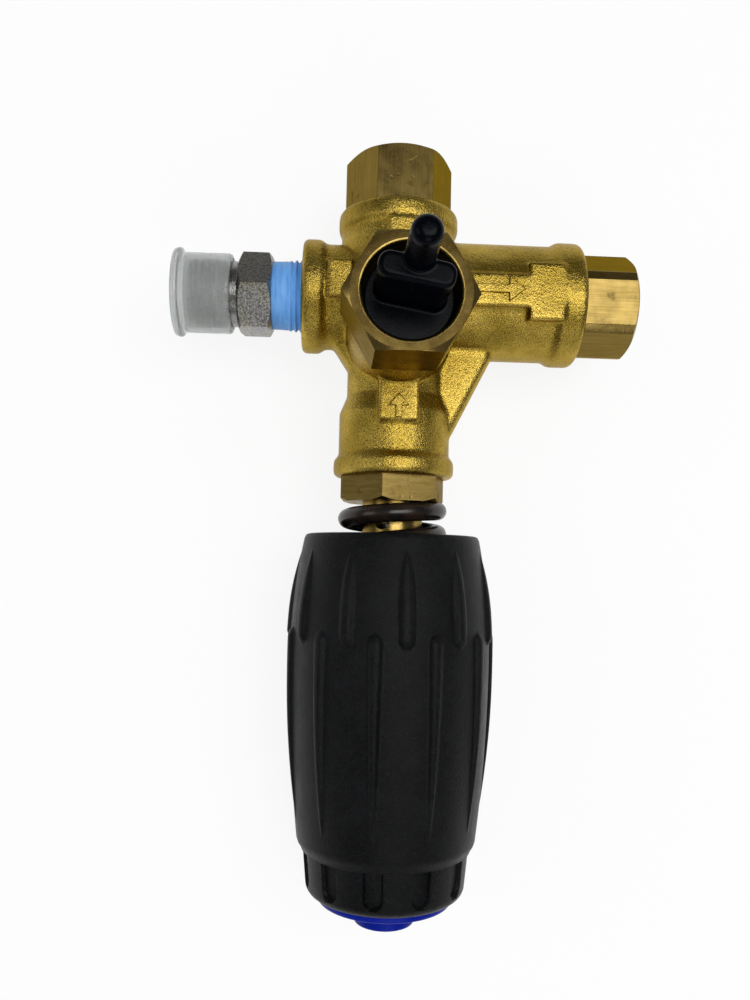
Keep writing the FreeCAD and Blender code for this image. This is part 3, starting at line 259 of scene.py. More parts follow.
@dataclass(frozen=True)
class TurnedBrass:
    """Brass turned in a lathe, with fine rings round its own axis."""

    direction: Direction
    bright: Colour = (0.34, 0.24, 0.072, 1.0)
    dull: Colour = (0.2, 0.135, 0.035, 1.0)

    def build(self) -> bpy.types.Material:
        """Make the material."""
        shader = Shader(f"turned_brass_{self.direction.value}", Metallic=1.0, Specular_Tint=EDGE_TINT)
        place = shader.placed(self.direction, (1, 1, 1))
        parts = shader.add("ShaderNodeSeparateXYZ")
        shader.feed(parts, "Vector", place)
        flat = shader.add("ShaderNodeCombineXYZ")
        shader.feed(flat, "X", parts.outputs["X"])
        shader.feed(flat, "Y", parts.outputs["Y"])
        radius = shader.add("ShaderNodeVectorMath", operation="LENGTH")
        shader.feed(radius, 0, flat.outputs["Vector"])
        way = shader.add("ShaderNodeMath", operation="ADD")
        shader.feed(way, 0, radius.outputs["Value"])
        shader.feed(way, 1, parts.outputs["Z"])
        rings = shader.add("ShaderNodeTexNoise", noise_dimensions="1D")
        shader.feed(rings, "W", way.outputs["Value"])
        shader.feed(rings, "Scale", 7000)
        shader.feed(rings, "Detail", 2)
        mottle = shader.grain(shader.coordinates, 260, 3)
        colour = shader.blend(shader.spread(mottle, 0.35, 0.65, 0, 1), self.dull, self.bright)
        shader.feed(shader.surface, "Base Color", colour)
        shader.feed(shader.surface, "Roughness", shader.spread(mottle, 0.3, 0.7, 0.32, 0.2))
        shader.feed(shader.surface, "Normal", shader.bump(rings.outputs["Fac"], 0.35, 0.03))
        return shader.material


@dataclass(frozen=True)
class MilledBrass:
    """Flats of a hexagon, with fine lines one way, stains and a few dents."""

    direction: Direction
    lines: tuple[float, float, float] = (5200, 5200, 170)
    bright: Colour = (0.24, 0.17, 0.052, 1.0)
    dull: Colour = (0.175, 0.12, 0.034, 1.0)
    stain: Colour = (0.09, 0.058, 0.018, 1.0)
    edge: Colour = (0.58, 0.49, 0.32, 1.0)

    def build(self) -> bpy.types.Material:
        """Make the material."""
        shader = Shader(f"milled_brass_{self.direction.value}", Metallic=1.0, Specular_Tint=self.edge)
        lines = shader.grain(shader.placed(self.direction, self.lines), 1, 3)
        broad = tuple(number / 2 for number in self.lines)
        streaks = shader.grain(shader.placed(self.direction, broad), 1, 3, 0.65)
        blotches = shader.grain(shader.coordinates, 210, 4, 0.6)
        colour = shader.blend(shader.spread(streaks, 0.34, 0.64, 0, 1), self.dull, self.bright)
        marks = shader.spread(blotches, 0.30, 0.38, 0.7, 0)
        shader.feed(shader.surface, "Base Color", shader.blend(marks, colour, self.stain))
        shader.feed(shader.surface, "Roughness", shader.spread(blotches, 0.3, 0.7, 0.4, 0.24))
        dents = shader.spread(shader.grain(shader.coordinates, 480, 1), 0.26, 0.34, 0, 1)
        low = shader.bump(dents, 0.3, 0.06)
        shader.feed(shader.surface, "Normal", shader.bump(lines, 0.3, 0.03, low))
        return shader.material


@dataclass(frozen=True)
class PlatedSteel:
    """Zinc plated steel, etched by its bath, with a faint yellow and violet tint."""

    silver: Colour = (0.33, 0.325, 0.305, 1.0)
    yellow: Colour = (0.35, 0.31, 0.20, 1.0)
    violet: Colour = (0.25, 0.215, 0.235, 1.0)
    etch: Colour = (0.08, 0.077, 0.072, 1.0)

    def build(self) -> bpy.types.Material:
        """Make the material."""
        shader = Shader("plated_steel", Metallic=1.0)
        etched = shader.grain(shader.coordinates, 1900, 4, 0.7)
        clouds = shader.grain(shader.coordinates, 150, 2)
        colour = shader.blend(shader.spread(clouds, 0.5, 0.8, 0, 1), self.silver, self.yellow)
        colour = shader.blend(shader.spread(clouds, 0.24, 0.46, 0.8, 0), colour, self.violet)
        colour = shader.blend(shader.spread(etched, 0.38, 0.52, 0.85, 0), colour, self.etch)
        shader.feed(shader.surface, "Base Color", colour)
        shader.feed(shader.surface, "Roughness", shader.spread(etched, 0.3, 0.7, 0.36, 0.16))
        shader.feed(shader.surface, "Normal", shader.bump(etched, 0.7, 0.09))
        return shader.material


@dataclass(frozen=True)
class BrightSteel:
    """Ground stainless steel of the inner valve parts."""

    colour: Colour = (0.52, 0.52, 0.5, 1.0)
    shaded: Colour = (0.40, 0.40, 0.39, 1.0)

    def build(self) -> bpy.types.Material:
        """Make the material."""
        shader = Shader("stainless_steel", Metallic=1.0)
        lines = shader.grain(shader.placed(Direction.UP, (300, 300, 9000)), 1, 2)
        shader.feed(shader.surface, "Base Color", shader.blend(lines, self.colour, self.shaded))
        shader.feed(shader.surface, "Roughness", shader.spread(lines, 0.3, 0.7, 0.2, 0.34))
        shader.feed(shader.surface, "Normal", shader.bump(lines, 0.2, 0.02))
        return shader.material


@dataclass(frozen=True)
class SpringCoat:
    """Glossy dark coating of the spring, worn brown in places."""

    dark: Colour = (0.006, 0.0055, 0.0055, 1.0)
    brown: Colour = (0.030, 0.016, 0.010, 1.0)

    def build(self) -> bpy.types.Material:
        """Make the material."""
        shader = Shader("coated_spring", Specular_IOR_Level=0.4)
        wear = shader.grain(shader.coordinates, 220, 3)
        colour = shader.blend(shader.spread(wear, 0.35, 0.85, 0, 1), self.dark, self.brown)
        shader.feed(shader.surface, "Base Color", colour)
        shader.feed(shader.surface, "Roughness", shader.spread(wear, 0.3, 0.7, 0.16, 0.3))
        fine = shader.grain(shader.coordinates, 1600, 2)
        shader.feed(shader.surface, "Normal", shader.bump(fine, 0.2, 0.04))
        return shader.material


@dataclass(frozen=True)
class GrainedPlastic:
    """Moulded plastic with a fine eroded grain and a few rubbed places."""

    name: str
    colour: Colour
    scuffed: Colour
    roughness: float
    gloss: float = 0.13
    grain_depth: float = 0.2

    def build(self) -> bpy.types.Material:
        """Make the material."""
        shader = Shader(self.name, Specular_IOR_Level=self.gloss)
        grain = shader.grain(shader.coordinates, 2400, 3, 0.65)
        scuff = shader.grain(shader.coordinates, 150, 6, 0.75)
        colour = shader.blend(shader.spread(scuff, 0.45, 0.8, 0, 0.6), self.colour, self.scuffed)
        colour = shader.blend(shader.spread(grain, 0.54, 0.68, 0, 1), colour, self.scuffed)
        shader.feed(shader.surface, "Base Color", colour)
        polish = shader.spread(scuff, 0.3, 0.7, self.roughness - 0.07, self.roughness + 0.09)
        shader.feed(shader.surface, "Roughness", polish)
        shader.feed(shader.surface, "Normal", shader.bump(grain, 0.9, self.grain_depth))
        return shader.material


@dataclass(frozen=True)
class MilkyPlastic:
    """Translucent push-on cap, thin enough to show the thread under it."""

    tint: Colour = (0.60, 0.63, 0.63, 1.0)
    cloudy: Colour = (0.80, 0.82, 0.80, 1.0)

    def build(self) -> bpy.types.Material:
        """Make the material."""
        shader = Shader("milky_plastic", IOR=1.3, Transmission_Weight=0.75, Specular_IOR_Level=0.5)
        haze = shader.grain(shader.coordinates, 260, 3)
        drawn = shader.grain(shader.placed(Direction.SIDE, (140, 140, 2600)), 1, 2)
        drawn_share = shader.spread(drawn, 0.2, 0.8, 0, 1)
        shader.feed(shader.surface, "Base Color", shader.blend(drawn_share, self.tint, self.cloudy))
        shader.feed(shader.surface, "Roughness", shader.spread(haze, 0.3, 0.7, 0.08, 0.22))
        shader.feed(shader.surface, "Normal", shader.bump(drawn, 0.1, 0.03))
        return shader.material


@dataclass(frozen=True)
class Sealant:
    """Blue thread sealant, smeared and slightly streaked round the thread."""

    colour: Colour = (0.10, 0.31, 0.74, 1.0)
    pale: Colour = (0.16, 0.41, 0.83, 1.0)

    def build(self) -> bpy.types.Material:
        """Make the material."""
        shader = Shader("blue_sealant", Specular_IOR_Level=0.3)
        streaks = shader.grain(shader.placed(Direction.SIDE, (160, 160, 1300)), 1, 4)
        colour = shader.blend(shader.spread(streaks, 0.38, 0.62, 0, 1), self.colour, self.pale)
        shader.feed(shader.surface, "Base Color", colour)
        shader.feed(shader.surface, "Roughness", shader.spread(streaks, 0.3, 0.7, 0.38, 0.55))
        shader.feed(shader.surface, "Normal", shader.bump(streaks, 0.35, 0.07))
        return shader.material


@dataclass(frozen=True)
class SoftRubber:
    """Seal rubber and the white rings behind it."""

    name: str
    colour: Colour
    roughness: float

    def build(self) -> bpy.types.Material:
        """Make the material."""
        shader = Shader(self.name)
        bloom = shader.grain(shader.coordinates, 600, 3)
        paler = tuple(min(1.0, part * 1.3 + 0.004) for part in self.colour[:3]) + (1.0,)
        shader.feed(shader.surface, "Base Color", shader.blend(bloom, self.colour, paler))
        shader.feed(
            shader.surface, "Roughness", shader.spread(bloom, 0.3, 0.7, self.roughness, self.roughness + 0.1)
        )
        shader.feed(shader.surface, "Normal", shader.bump(bloom, 0.15, 0.02))
        return shader.material


class Finishes:
    """Builds each finish once."""

    def __init__(self) -> None:
        """Start with no finish built."""
        self.built: dict[object, bpy.types.Material] = {}

    def give(self, finish: object) -> bpy.types.Material:
        """Give the material of a finish."""
        if finish not in self.built:
            self.built[finish] = finish.build()
        return self.built[finish]


FINISHES = Finishes()
FORGED = ForgedBrass()
PLATED = PlatedSteel()
BRIGHT = BrightSteel()
SPRING = SpringCoat()
MILKY = MilkyPlastic()
SEALANT = Sealant()
SEAL_RUBBER = SoftRubber("seal_rubber", (0.012, 0.012, 0.013, 1.0), 0.45)
WHITE_RING = SoftRubber("white_plastic", (0.75, 0.75, 0.73, 1.0), 0.4)
KNOB_BLACK = GrainedPlastic(
    "knob_plastic", (0.0015, 0.0018, 0.0022, 1.0), (0.0095, 0.0102, 0.0115, 1.0), 0.36
)
PLUG_BLACK = GrainedPlastic(
    "black_plastic",
    (0.0008, 0.0012, 0.0024, 1.0),
    (0.0018, 0.0024, 0.004, 1.0),
    0.24,
    gloss=0.055,
    grain_depth=0.02,
)
CAP_BLUE = GrainedPlastic(
    "blue_plastic", (0.0006, 0.009, 0.22, 1.0), (0.001, 0.014, 0.32, 1.0), 0.34, grain_depth=0.02
)


def turned(section: Section, steps: int = TURN_STEPS) -> bmesh.types.BMesh:
    """Turn a closed half section about Z.

    Args:
        section: The corners (radius, height) in millimetres, in order.
        steps: How many steps the turn has.

    Returns:
        A closed mesh with its faces outwards.
    """
    mesh = bmesh.new()
    corners = [mesh.verts.new((radius * MM, 0, height * MM)) for radius, height in section]
    edges = [mesh.edges.new((a, b)) for a, b in zip(corners, corners[1:] + corners[:1])]
    bmesh.ops.spin(
        mesh,
        geom=corners + edges,
        cent=(0, 0, 0),
        axis=(0, 0, 1),
        angle=math.tau,
        steps=steps,
        use_merge=True,
    )
    bmesh.ops.remove_doubles(mesh, verts=mesh.verts, dist=1e-7)
    bmesh.ops.dissolve_degenerate(mesh, edges=mesh.edges, dist=1e-7)
    bmesh.ops.recalc_face_normals(mesh, faces=mesh.faces)
    return mesh


def mill_flats(mesh: bmesh.types.BMesh, flats: float, turn: float) -> None:
    """Cut six flats on a turned piece and mark them with the second material.

    Args:
        mesh: The turned piece, about Z.
        flats: The size across the flats in millimetres.
        turn: The angle of one corner in degrees.
    """
    for side in range(6):
        angle = math.radians(turn + 30 + side * 60)
        way = Vector((math.cos(angle), math.sin(angle), 0))
        cut = bmesh.ops.bisect_plane(
            mesh,
            geom=mesh.verts[:] + mesh.edges[:] + mesh.faces[:],
            plane_co=way * flats * MM / 2,
            plane_no=way,
            dist=1e-7,
            clear_outer=True,
        )
        rim = [part for part in cut["geom_cut"] if isinstance(part, bmesh.types.BMEdge)]
        made = bmesh.ops.contextual_create(mesh, geom=rim)
        for face in made["faces"]:
            face.material_index = 1
    bmesh.ops.recalc_face_normals(mesh, faces=mesh.faces)


def helix_ridge(
    root: float, crest: float, pitch: float, low: float, high: float, steps: int = 48
) -> bmesh.types.BMesh:
    """Sweep the ridge of a screw thread about Z.

    Args:
        root: The radius at the foot of the ridge in millimetres.
        crest: The radius at its top.
        pitch: The height of one turn.
        low: Where the thread starts.
        high: Where it ends.
        steps: How many steps one turn has.

    Returns:
        A closed mesh that overlaps the core by a hair.
    """
    turns = int((high - low) / pitch) - 1
    sunk = root - 0.08 * (1 if crest > root else -1)
    half = pitch / 2
    corners = ((sunk, 0.02), (root, 0.02), (crest, half * 0.85), (crest, half * 1.15), (root, pitch - 0.02))
    corners += ((sunk, pitch - 0.02),)
    mesh = bmesh.new()
    ring = [mesh.verts.new((radius * MM, 0, (low + height) * MM)) for radius, height in corners]
    face = mesh.faces.new(ring)
    bmesh.ops.spin(
        mesh,
        geom=[face],
        cent=(0, 0, 0),
        axis=(0, 0, 1),
        dvec=(0, 0, pitch * MM / steps),
        angle=math.tau * turns,
        steps=steps * turns,
        use_duplicate=False,
    )
    bmesh.ops.recalc_face_normals(mesh, faces=mesh.faces)
    return mesh


def add_mesh(mesh: bmesh.types.BMesh, other: bmesh.types.BMesh, material: int = 0) -> None:
    """Join a second mesh to the first and give it a material index."""
    for face in other.faces:
        face.material_index = material
    carrier = bpy.data.meshes.new("carrier")
    other.to_mesh(carrier)
    other.free()
    mesh.from_mesh(carrier)
    bpy.data.meshes.remove(carrier)


def round_edges(piece: bpy.types.Object, width: float) -> None:
    """Round a piece's sharp edges by a width in millimetres."""
    rounding = piece.modifiers.new("edges", "BEVEL")
    rounding.width = width * MM
    rounding.segments = 2
    rounding.limit_method = "ANGLE"
    rounding.angle_limit = math.radians(25)
    rounding.material = -1
    piece.modifiers.new("normals", "WEIGHTED_NORMAL")


def cut_away(piece: bpy.types.Object, cutter: bmesh.types.BMesh) -> None:
    """Cut a closed shape out of a piece.

    Args:
        piece: The piece, whose mesh is changed.
        cutter: The shape to take away; it is freed.
    """
    data = bpy.data.meshes.new("cutter")
    cutter.to_mesh(data)
    cutter.free()
    tool = bpy.data.objects.new("cutter", data)
    bpy.context.scene.collection.objects.link(tool)
    cut = piece.modifiers.new("cut", "BOOLEAN")
    cut.object = tool
    cut.operation = "DIFFERENCE"
    cut.solver = "EXACT"
    final = bpy.data.meshes.new_from_object(piece.evaluated_get(bpy.context.evaluated_depsgraph_get()))
    piece.modifiers.clear()
    piece.data = final
    bpy.data.objects.remove(tool)
    bpy.data.meshes.remove(data)


def to_object(
    name: str,
    mesh: bmesh.types.BMesh,
    finishes: list[object],
    body: str,
    direction: Direction = Direction.UP,
    stands_for: str = "",
    edge: float = 0.15,
) -> bpy.types.Object:
    """Make a finished piece of a mesh.

    Args:
        name: Name of the piece.
        mesh: Its mesh about the piece's own Z axis; it is freed.
        finishes: The finish of each material index.
        body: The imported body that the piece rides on.
        direction: The way that its own Z axis points.
        stands_for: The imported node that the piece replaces.
        edge: The width of the rounding of its edges in millimetres, or 0.

    Returns:
        The object, with its place in its mesh.
    """
    mesh.transform(direction.matrix())
    data = bpy.data.meshes.new(name)
    mesh.to_mesh(data)
    mesh.free()
    for finish in finishes:
        data.materials.append(FINISHES.give(finish))
    data.shade_smooth()
    piece = bpy.data.objects.new(name, data)
    bpy.context.scene.collection.objects.link(piece)
    if edge:
        round_edges(piece, edge)
    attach(piece, body)
    if stands_for:
        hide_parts(stands_for)
    log.info("%s: %d faces on %s", name, len(data.polygons), body)
    return piece


@dataclass
class Forging:
    """The forged body with its blended corners, and the flow arrows on its pads."""

    grain_size: float = 0.5
    smoothing: int = 4
    arrow_rise: float = 0.8
    pad_height: float = 0.9
    arm_r: float = 14.9
    barrel_r: float = 14.1

    def build(self) -> None:
        """Make the skin and the arrows."""
        self.skin()
        outlet_pad = self.arm_r + self.pad_height
        self.arrow("outlet_arrow", (-30.2, ARM_HEIGHT + 1.0), 180, 12.5, 6.6, outlet_pad)
        self.arrow("bypass_arrow", (0.0, PORT_HEIGHT + 15.6), -90, 6.0, 5.2, self.barrel_r + self.pad_height)

    def arrow(
        self, name: str, tip: tuple[float, float], turn: float, length: float, width: float, pad: float
    ) -> None:
        """Raise a flow arrow on a pad.

        Args:
            name: Name of the piece.
            tip: Where it points to, as X and Z in millimetres.
            turn: The way that it points, in degrees from +X towards +Z.
            length: Its length in millimetres.
            width: The width of its head.
            pad: How far the pad's face is in front of the valve's middle.
        """
        head, stem = width * 0.6, width * 0.16
        half = ((0, 0), (-head, width / 2), (-head, stem), (-length, stem))
        mesh = bmesh.new()
        upper = [mesh.verts.new((x * MM, y * MM, 0)) for x, y in half]
        lower = [mesh.verts.new((x * MM, -y * MM, 0)) for x, y in half[:0:-1]]
        face = mesh.faces.new(upper + lower)
        grown = bmesh.ops.extrude_face_region(mesh, geom=[face])
        top = [part for part in grown["geom"] if isinstance(part, bmesh.types.BMVert)]
        bmesh.ops.translate(mesh, verts=top, vec=(0, 0, (self.arrow_rise + 0.3) * MM))
        bmesh.ops.recalc_face_normals(mesh, faces=mesh.faces)
        bmesh.ops.rotate(mesh, verts=mesh.verts, matrix=Matrix.Rotation(math.radians(turn), 3, "Z"))
        at_pad = (tip[0] * MM, (tip[1] - PORT_HEIGHT) * MM, (pad - 0.3) * MM)
        bmesh.ops.translate(mesh, verts=mesh.verts, vec=at_pad)
        to_object(name, mesh, [FORGED], "valve", Direction.FRONT, edge=0.28)

    def skin(self) -> bpy.types.Object:
        """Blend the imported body's corners as a forging die leaves them."""
        mesh = bmesh.new()
        mesh.from_mesh(frame["nodes"]["valve_body"].data)
        bmesh.ops.remove_doubles(mesh, verts=mesh.verts, dist=1e-6)
        data = bpy.data.meshes.new("forged_body")
        mesh.to_mesh(data)
        mesh.free()
        piece = bpy.data.objects.new("forged_body", data)
        bpy.context.scene.collection.objects.link(piece)
        remesh = piece.modifiers.new("skin", "REMESH")
        remesh.mode = "VOXEL"
        remesh.voxel_size = self.grain_size * MM
        smooth = piece.modifiers.new("smooth", "SMOOTH")
        smooth.factor = 0.5
        smooth.iterations = self.smoothing
        thin = piece.modifiers.new("thin", "DECIMATE")
        thin.ratio = 0.6
        evaluated = piece.evaluated_get(bpy.context.evaluated_depsgraph_get())
        final = bpy.data.meshes.new_from_object(evaluated)
        piece.modifiers.clear()
        piece.data = final
        final.materials.clear()
        final.materials.append(FINISHES.give(FORGED))
        final.shade_smooth()
        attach(piece, "valve")
        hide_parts("valve_body")
        log.info("forged_body: %d faces on valve", len(final.polygons))
        return piece


def thread_rings(crest: float, root: float, pitch: float, start: float, end: float) -> Section:
    """Give the zigzag of an inner thread along a port's wall.

    Args:
        crest: The radius at the thread's crests in millimetres.
        root: The radius at its roots.
        pitch: The length from one crest to the next.
        start: Where the thread starts, at the port's floor.
        end: Where it ends, at the port's mouth.

    Returns:
        Corners (radius, height) from start to end.
    """
    turns = int(abs(end - start) / pitch)
    way = 1 if end > start else -1
    corners: Section = []
    for turn in range(turns):
        base = start + turn * pitch * way
        for radius, share in ((crest, 0.0), (crest, 0.15), (root, 0.5), (root, 0.62)):
            corners.append((radius, base + share * pitch * way))
    return corners


@dataclass
class Fitting:
    """A screwed fitting of hexagon bar: threaded port, hexagon, neck and spigot."""

    name: str
    direction: Direction
    mouth: float
    shoulder: float
    tip: float
    flats: float
    turn: float
    face_r: float
    bar_r: float
    mouth_r: float
    wall_r: float
    depth: float
    through_r: float
    spigot_r: float
    pitch: float
    thread_depth: float = 0.7
    pocket_r: float = 0.0
    pocket_depth: float = 0.0
    neck: float = 1.8
    lines: tuple[float, float, float] = (5200, 5200, 170)
    # painted shade: an optional much darker copy of the turned brass, for the port's mouth face
    rim: TurnedBrass | None = None

    def build(self) -> None:
        """Make the fitting with the thread in its port."""
        way = 1 if self.mouth > self.tip else -1
        bar_start = self.mouth - (self.bar_r - self.face_r) * math.tan(math.radians(30)) * way
        section = [
            (self.face_r, self.mouth),
            (self.bar_r, bar_start),
            (self.bar_r, self.shoulder),
            (self.spigot_r - 0.7, self.shoulder),
            (self.spigot_r - 0.7, self.shoulder - self.neck * way),
            (self.spigot_r, self.shoulder - self.neck * way),
            (self.spigot_r, self.tip + 0.8 * way),
            (self.spigot_r - 0.8, self.tip),
        ]
        if self.pocket_r:
            section.append((self.pocket_r, self.tip))
            section.append((self.pocket_r, self.tip + self.pocket_depth * way))
            section.append((self.through_r, self.tip + self.pocket_depth * way))
        else:
            section.append((self.through_r, self.tip))
        floor = self.mouth - self.depth * way
        lip = self.mouth - (self.mouth_r - self.wall_r) * way
        section.append((self.through_r, floor))
        section.append((self.wall_r, floor))
        groove_r = self.wall_r + self.thread_depth
        section += thread_rings(self.wall_r, groove_r, self.pitch, floor + 1.5 * way, lip)
        for step in range(5):
            angle = math.pi / 2 * step / 4
            rise = (self.mouth_r - self.wall_r) * math.sin(angle) * way
            section.append((self.mouth_r - (self.mouth_r - self.wall_r) * math.cos(angle), lip + rise))
        mesh = turned(section)
        mill_flats(mesh, self.flats, self.turn)
        finishes = [TurnedBrass(self.direction), MilledBrass(self.direction, self.lines)]
        # Painted shade: faces on the mouth get the darker copy of the turned brass.
        if self.rim:
            finishes.append(self.rim)
            for face in mesh.faces:
                if abs(face.calc_center_median().z - self.mouth * MM) < 1e-5:
                    face.material_index = 2
        to_object(self.name, mesh, finishes, "valve", self.direction, self.name)


FITTINGS = (
    Fitting(
        name="inlet_fitting",
        direction=Direction.UP,
        mouth=0.0,
        shoulder=14.7,
        tip=26.7,
        flats=24.0,
        turn=56.7,
        face_r=11.6,
        bar_r=13.86,
        mouth_r=8.4,
        wall_r=7.6,
        depth=12.5,
        through_r=5.5,
        spigot_r=10.5,
        pitch=1.34,
    ),
    Fitting(
        name="outlet_fitting",
        direction=Direction.OUTLET,
        mouth=60.1,
        shoulder=46.2,
        tip=34.2,
        flats=24.0,
        turn=9.0,
        face_r=11.6,
        bar_r=13.16,
        mouth_r=8.7,
        wall_r=7.6,
        depth=12.5,
        through_r=5.5,
        spigot_r=10.5,
        pitch=1.34,
        pocket_r=6.8,
        pocket_depth=6.0,
    ),
    Fitting(
        name="bypass_fitting",
        direction=Direction.FRONT,
        mouth=45.1,
        shoulder=26.7,
        tip=16.7,
        flats=25.5,
        turn=0.0,
        face_r=12.93,
        bar_r=14.72,
        mouth_r=11.1,
        wall_r=10.2,
        depth=15.0,
        through_r=6.0,
        spigot_r=9.55,
        pitch=1.5,
        lines=(500, 500, 3000),
        # painted shade: a much darker copy of the turned brass on the bypass port's mouth face
        rim=TurnedBrass(Direction.FRONT, (0.085, 0.058, 0.016, 1.0), (0.045, 0.029, 0.008, 1.0)),
    ),
)


@dataclass
class SideAdapter:
    """Plated adapter with its sealed thread and its translucent cap."""

    flats: float = 19.0
    turn: float = 28.5
    bore_r: float = 4.0
    thread_r: float = 8.25
    male_r: float = 8.9
    neck_r: float = 8.3
    cap_wall: float = 1.15

    def build(self) -> None:
        """Make the adapter, the sealant and the cap."""
        tip, end = node_span("side_adapter", 0)
        face, low = node_span("thread_sealant", 0)
        high = low + 8.4
        male_low = high + 3.1
        bar_r = self.flats / math.sqrt(3)
        face_r = self.flats / 2 - 0.2
        slope = (bar_r - face_r) * math.tan(math.radians(30))
        section = [
            (self.bore_r, tip),
            (self.thread_r - 0.8, tip),
            (self.thread_r, tip + 0.8),
            (self.thread_r, low),
            (face_r, low),
            (bar_r, low + slope),
            (bar_r, high - slope),
            (face_r, high),
            (self.neck_r + 0.3, high),
            (self.neck_r, high + 0.4),
            (self.neck_r, male_low),
            (self.male_r - 0.75, male_low + 0.4),
            (self.male_r - 0.75, end - 0.8),
            (self.male_r - 1.5, end),
            (self.bore_r * 1.5, end),
            (self.bore_r, end - self.bore_r / 2),
        ]
        mesh = turned(section)
        mill_flats(mesh, self.flats, self.turn)
        add_mesh(mesh, helix_ridge(self.male_r - 0.75, self.male_r - 0.03, 1.34, male_low + 0.6, end - 0.2))
        finishes = [PLATED, PLATED]
        to_object("side_adapter", mesh, finishes, "valve", Direction.SIDE, "side_adapter")
        self.sealant(face, low)
        self.cap()

    def sealant(self, face: float, low: float) -> None:
        """Smear the sealant over the adapter's last threads.

        Args:
            face: Where the arm's face is, in millimetres from the stem's axis.
            low: Where the adapter's hexagon starts.
        """
        inner = self.thread_r + 0.05
        section = [(inner, face)]
        rows = 48
        for row in range(rows + 1):
            share = row / rows
            place = face + (low - face) * share
            radius = 8.98 - 0.26 * share
            threads = max(0.0, 1 - share / 0.55)
            radius += 0.34 * min(1.0, threads * 2) * math.sin(math.tau * (place - face) / 1.34)
            section.append((radius - 0.2, place))
        section.append((inner, low))
        mesh = turned(section)
        for vertex in mesh.verts:
            around = Vector((vertex.co.x, vertex.co.y))
            if around.length < (inner + 0.1) * MM:
                continue
            swell = noise.noise(vertex.co / MM * 0.45) * 0.12 * MM
            scale = (around.length + swell) / around.length
            vertex.co.x *= scale
            vertex.co.y *= scale
        to_object(
            "thread_sealant",
            mesh,
            [SEALANT],
            "valve",
            Direction.SIDE,
            "thread_sealant",
            edge=0,
        )

    def cap(self) -> None:
        """Make the push-on cap."""
        low, end = node_span("adapter_cap", 0)
        cavity_r = self.male_r + 0.05
        outer_r = cavity_r + self.cap_wall
        section = [
            (cavity_r, low + 0.2),
            (cavity_r + 0.25, low),
            (outer_r - 0.9, low),
            (outer_r - 0.25, low + 0.25),
            (outer_r, low + 0.9),
            (outer_r, end - 1.9),
            (outer_r + 0.2, end - 1.7),
            (outer_r + 1.0, end - 1.6),
            (outer_r + 1.1, end - 1.2),
            (outer_r + 1.1, end - 0.8),
            (outer_r + 0.8, end),
            (0, end),
            (0, end - 2.4),
            (cavity_r - 0.6, end - 2.4),
            (cavity_r, end - 3.0),
        ]
        mesh = turned(section)
        to_object(
            "adapter_cap", mesh, [MILKY], "cap", Direction.SIDE, "adapter_cap", edge=0.1
        )


@dataclass
class Gland:
    """Gland nut with its guide sleeve."""

    flats: float = 24.0
    turn: float = 44.4
    face_r: float = 12.5
    spigot_r: float = 10.5
    sleeve_r: float = 7.6
    bore_r: float = 4.05
    hexagon: float = 6.3
    body_top: float = 83.1
    hole_r: float = 1.85
    hole_rise: float = 5.2
    hole_turn: float = 24.0

    def build(self) -> None:
        """Make the nut and drill the sleeve across."""
        tip, end = node_span("gland_nut", 2)
        top = self.body_top + self.hexagon
        bar_r = self.flats / math.sqrt(3)
        section = [
            (self.bore_r, tip),
            (self.spigot_r - 0.8, tip),
            (self.spigot_r, tip + 0.8),
            (self.spigot_r, self.body_top - 1.8),
            (self.spigot_r - 0.7, self.body_top - 1.8),
            (self.spigot_r - 0.7, self.body_top),
            (bar_r, self.body_top),
            (bar_r, top - (bar_r - self.face_r) * math.tan(math.radians(30))),
            (self.face_r, top),
            (self.sleeve_r, top),
            (self.sleeve_r, end - 0.8),
            (self.sleeve_r - 0.8, end),
            (self.bore_r, end),
            (self.bore_r, tip + 5.6),
            (self.bore_r + 1.8, tip + 5.6),
            (self.bore_r + 1.8, tip + 2.5),
            (self.bore_r, tip + 2.5),
        ]
        mesh = turned(section)
        mill_flats(mesh, self.flats, self.turn)
        finishes = [TurnedBrass(Direction.UP), MilledBrass(Direction.UP, (420, 420, 3600))]
        nut = to_object(
            "gland_nut", mesh, finishes, "valve", Direction.UP, "gland_nut", edge=0
        )
        drill = bmesh.new()
        place = Matrix.Rotation(math.radians(self.hole_turn), 4, "Z")
        lifted = Matrix.Translation((0, 0, (top + self.hole_rise) * MM))
        place @= lifted @ Matrix.Rotation(math.pi / 2, 4, "X")
        bmesh.ops.create_cone(
            drill,
            cap_ends=True,
            segments=40,
            radius1=self.hole_r * MM,
            radius2=self.hole_r * MM,
            depth=self.sleeve_r * 3 * MM,
            matrix=place,
        )
        cut_away(nut, drill)
        round_edges(nut, 0.15)


